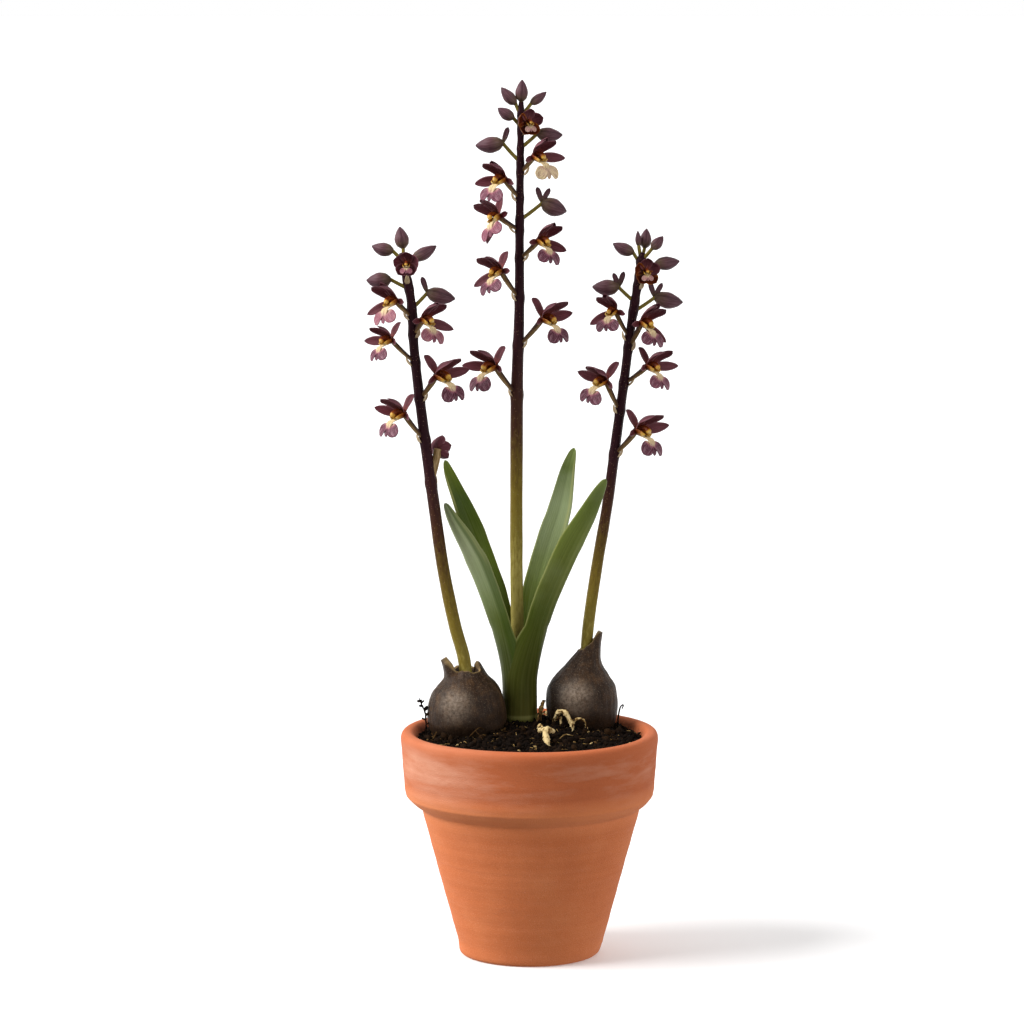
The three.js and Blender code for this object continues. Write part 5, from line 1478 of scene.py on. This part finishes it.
# %% Lips
CLAW_SHARES = [[0, 0.9], [0.3, 1.05], [0.6, 0.95], [0.85, 0.7], [1, 0.3]]
LOBE_SHARES = [[0, 0.42], [0.2, 0.75], [0.5, 1], [0.75, 0.94], [0.92, 0.6], [1, 0.08]]
TONGUE_SHARES = [[0, 0.7], [0.5, 1], [0.85, 0.8], [1, 0.1]]


def make_lip(name, number, row):
    """A claw straight down the middle, a tongue that goes on from it, and a lobe to each side, all turned
    and sized as their flower is. The tone rises along each of them, from cream to the lip's darkest."""
    height, direction, reach, rise, turn, roll, size, _, _, purple = row
    heart = place_on(name, height, direction, reach, rise)[1]
    grown = YOUNG_LIP if size < YOUNG_SIZE else 1
    pose = about_z(turn) @ about_y(-roll) * size * grown * IN_FULL_BLOOM
    darkest = purple + 0.1
    along = np.linspace(0, 1, LIP_ROWS)[:, None]
    claw = lip_blade((0, 0), (0, 5.4), 3.9, CLAW_SHARES, ridge=0.6, cup=1.0)
    tongue = lip_blade((0, 4.5), (0, 9), 2.3, TONGUE_SHARES, ridge=0.3)
    parts = [skin(claw @ pose.T + heart, 0, 0.3 * smooth_step(along, 0.5, 1)),
             skin(tongue @ pose.T + heart, 0, 0.3 + (darkest - 0.2) * smooth_step(along, 0, 0.4))]
    for side in (-1, 1):
        lobe = lip_blade((1.2 * side, 2.9), (6.1 * side, 8.3), 6, LOBE_SHARES, cup=0.9)
        tone = 0.25 + (darkest - 0.25) * smooth_step(along, 0.05, 0.42)
        parts.append(skin(lobe @ pose.T + heart, 0, tone))
    return add_piece(f"flower_lip_{name}_{number}", parts, [lip_skin], f"lip_{name}_{number}")


print("Before the flowers there are", totals["pieces"], "pieces")

# %% All flowers, lips and stalks
for name, rows in BLOOMS.items():
    for number, row in enumerate(rows, 1):
        make_flower(name, number, row)
        make_lip(name, number, row)
for number, name in enumerate(STALKS):
    add_piece("flowering_stalk_" + name, make_stalk(name, 200 + 100 * number),
              [stalk_skin, bud_skin, ovary_skin], "flower_stalk_" + name)
print("Made", sum(len(rows) for rows in BLOOMS.values()), "flowers with their lips")

# %% [markdown]
# The photograph was taken with a long lens from a little above the rim. The camera's place and lens follow
# from the pot: its rim is 130 mm across and fills a quarter of the frame. The light is soft and comes mostly
# from the left, over a white table, and the room around is nearly white.

# %% Camera
CAMERA_DROP = 7.5            # degrees that the camera looks down
CAMERA_DISTANCE = 2.0        # metres
LOOK_AT = (-0.0088, 0.0, 0.2245)
SENSOR_WIDTH = 36            # mm
LENS_OVER_SENSOR = 4000 / 1024


def make_camera():
    """A camera that stands in front of the plant and looks down at a point on it."""
    lens = bpy.data.cameras.new("camera")
    lens.sensor_width = SENSOR_WIDTH
    lens.lens = SENSOR_WIDTH * LENS_OVER_SENSOR
    lens.clip_end = 200
    camera = bpy.data.objects.new("camera", lens)
    scene.collection.objects.link(camera)
    drop = np.radians(CAMERA_DROP)
    camera.location = np.array(LOOK_AT) + CAMERA_DISTANCE * np.array([0, -np.cos(drop), np.sin(drop)])
    camera.rotation_euler = (np.pi / 2 - drop, 0, 0)
    scene.camera = camera


make_camera()
print("The camera stands at", [round(v, 3) for v in scene.camera.location])


# %% Light
def add_sun(name, energy, angle, across, up):
    """A distant lamp. Angle is how wide it looks, which softens its shadows. Across is how many degrees it
    stands to the right of the camera, and up is its height in degrees."""
    lamp = bpy.data.lights.new(name, "SUN")
    lamp.energy, lamp.angle = energy, np.radians(angle)
    sun = bpy.data.objects.new(name, lamp)
    scene.collection.objects.link(sun)
    sun.rotation_euler = (np.radians(90 - up), 0, np.radians(across))


def make_light():
    """A soft window on the left, a weaker one at the right, and a bright wall behind. The room is dim on the
    camera's side, and a camera sees a white backdrop all round."""
    add_sun("window", 4.2, 38, -77, 35)
    add_sun("fill", 1.1, 40, 41, 22)
    world = bpy.data.worlds.new("studio")
    scene.world = world
    world.use_nodes = True
    tree = world.node_tree
    tree.nodes.clear()
    split = node(tree, "SeparateXYZ", {"Vector": node(tree, "TexCoord").outputs["Generated"]})
    walls = node(tree, "MapRange", {"Value": split.outputs["Y"], "From Min": -0.4, "From Max": 0.4,
                                    "To Min": 0.25, "To Max": 1.0}, interpolation_type="SMOOTHSTEP")
    seen = node(tree, "Mix", {"Factor": node(tree, "LightPath").outputs["Is Camera Ray"],
                              2: walls.outputs[0], 3: 1.0})
    sky = node(tree, "Background", {"Color": linear("#FFFFFF"), "Strength": seen.outputs[0]})
    node(tree, "OutputWorld", {"Surface": sky.outputs[0]})


make_light()
scene.view_settings.view_transform = "Standard"
print("The room is", scene.world.name)

# %% Floor
TABLE_REACH = 60             # metres from the pot to the table's edge, which stays out of sight


def make_floor():
    """A white table whose lacquer glows a little, so that it stays as pale as in the photograph. It throws
    no light up at the plant."""
    mesh = bpy.data.meshes.new("table")
    corners = [(-1, -1), (1, -1), (1, 1), (-1, 1)]
    mesh.from_pydata([(TABLE_REACH * x, TABLE_REACH * y, 0) for x, y in corners], [], [(0, 1, 2, 3)])
    white = bpy.data.materials.new("White table, matt lacquer")
    white.use_nodes = True
    shader = white.node_tree.nodes["Principled BSDF"]
    shader.inputs["Base Color"].default_value = linear("#F4F4F4")
    shader.inputs["Roughness"].default_value = 0.7
    shader.inputs["Emission Color"].default_value = linear("#FFFFFF")
    shader.inputs["Emission Strength"].default_value = 0.1
    mesh.materials.append(white)
    floor = bpy.data.objects.new("table", mesh)
    scene.collection.objects.link(floor)
    floor.visible_diffuse = False


make_floor()
print("The table is", 2 * TABLE_REACH, "m across")

# %% Finish
print(totals["pieces"], "pieces with", totals["triangles"], "triangles")
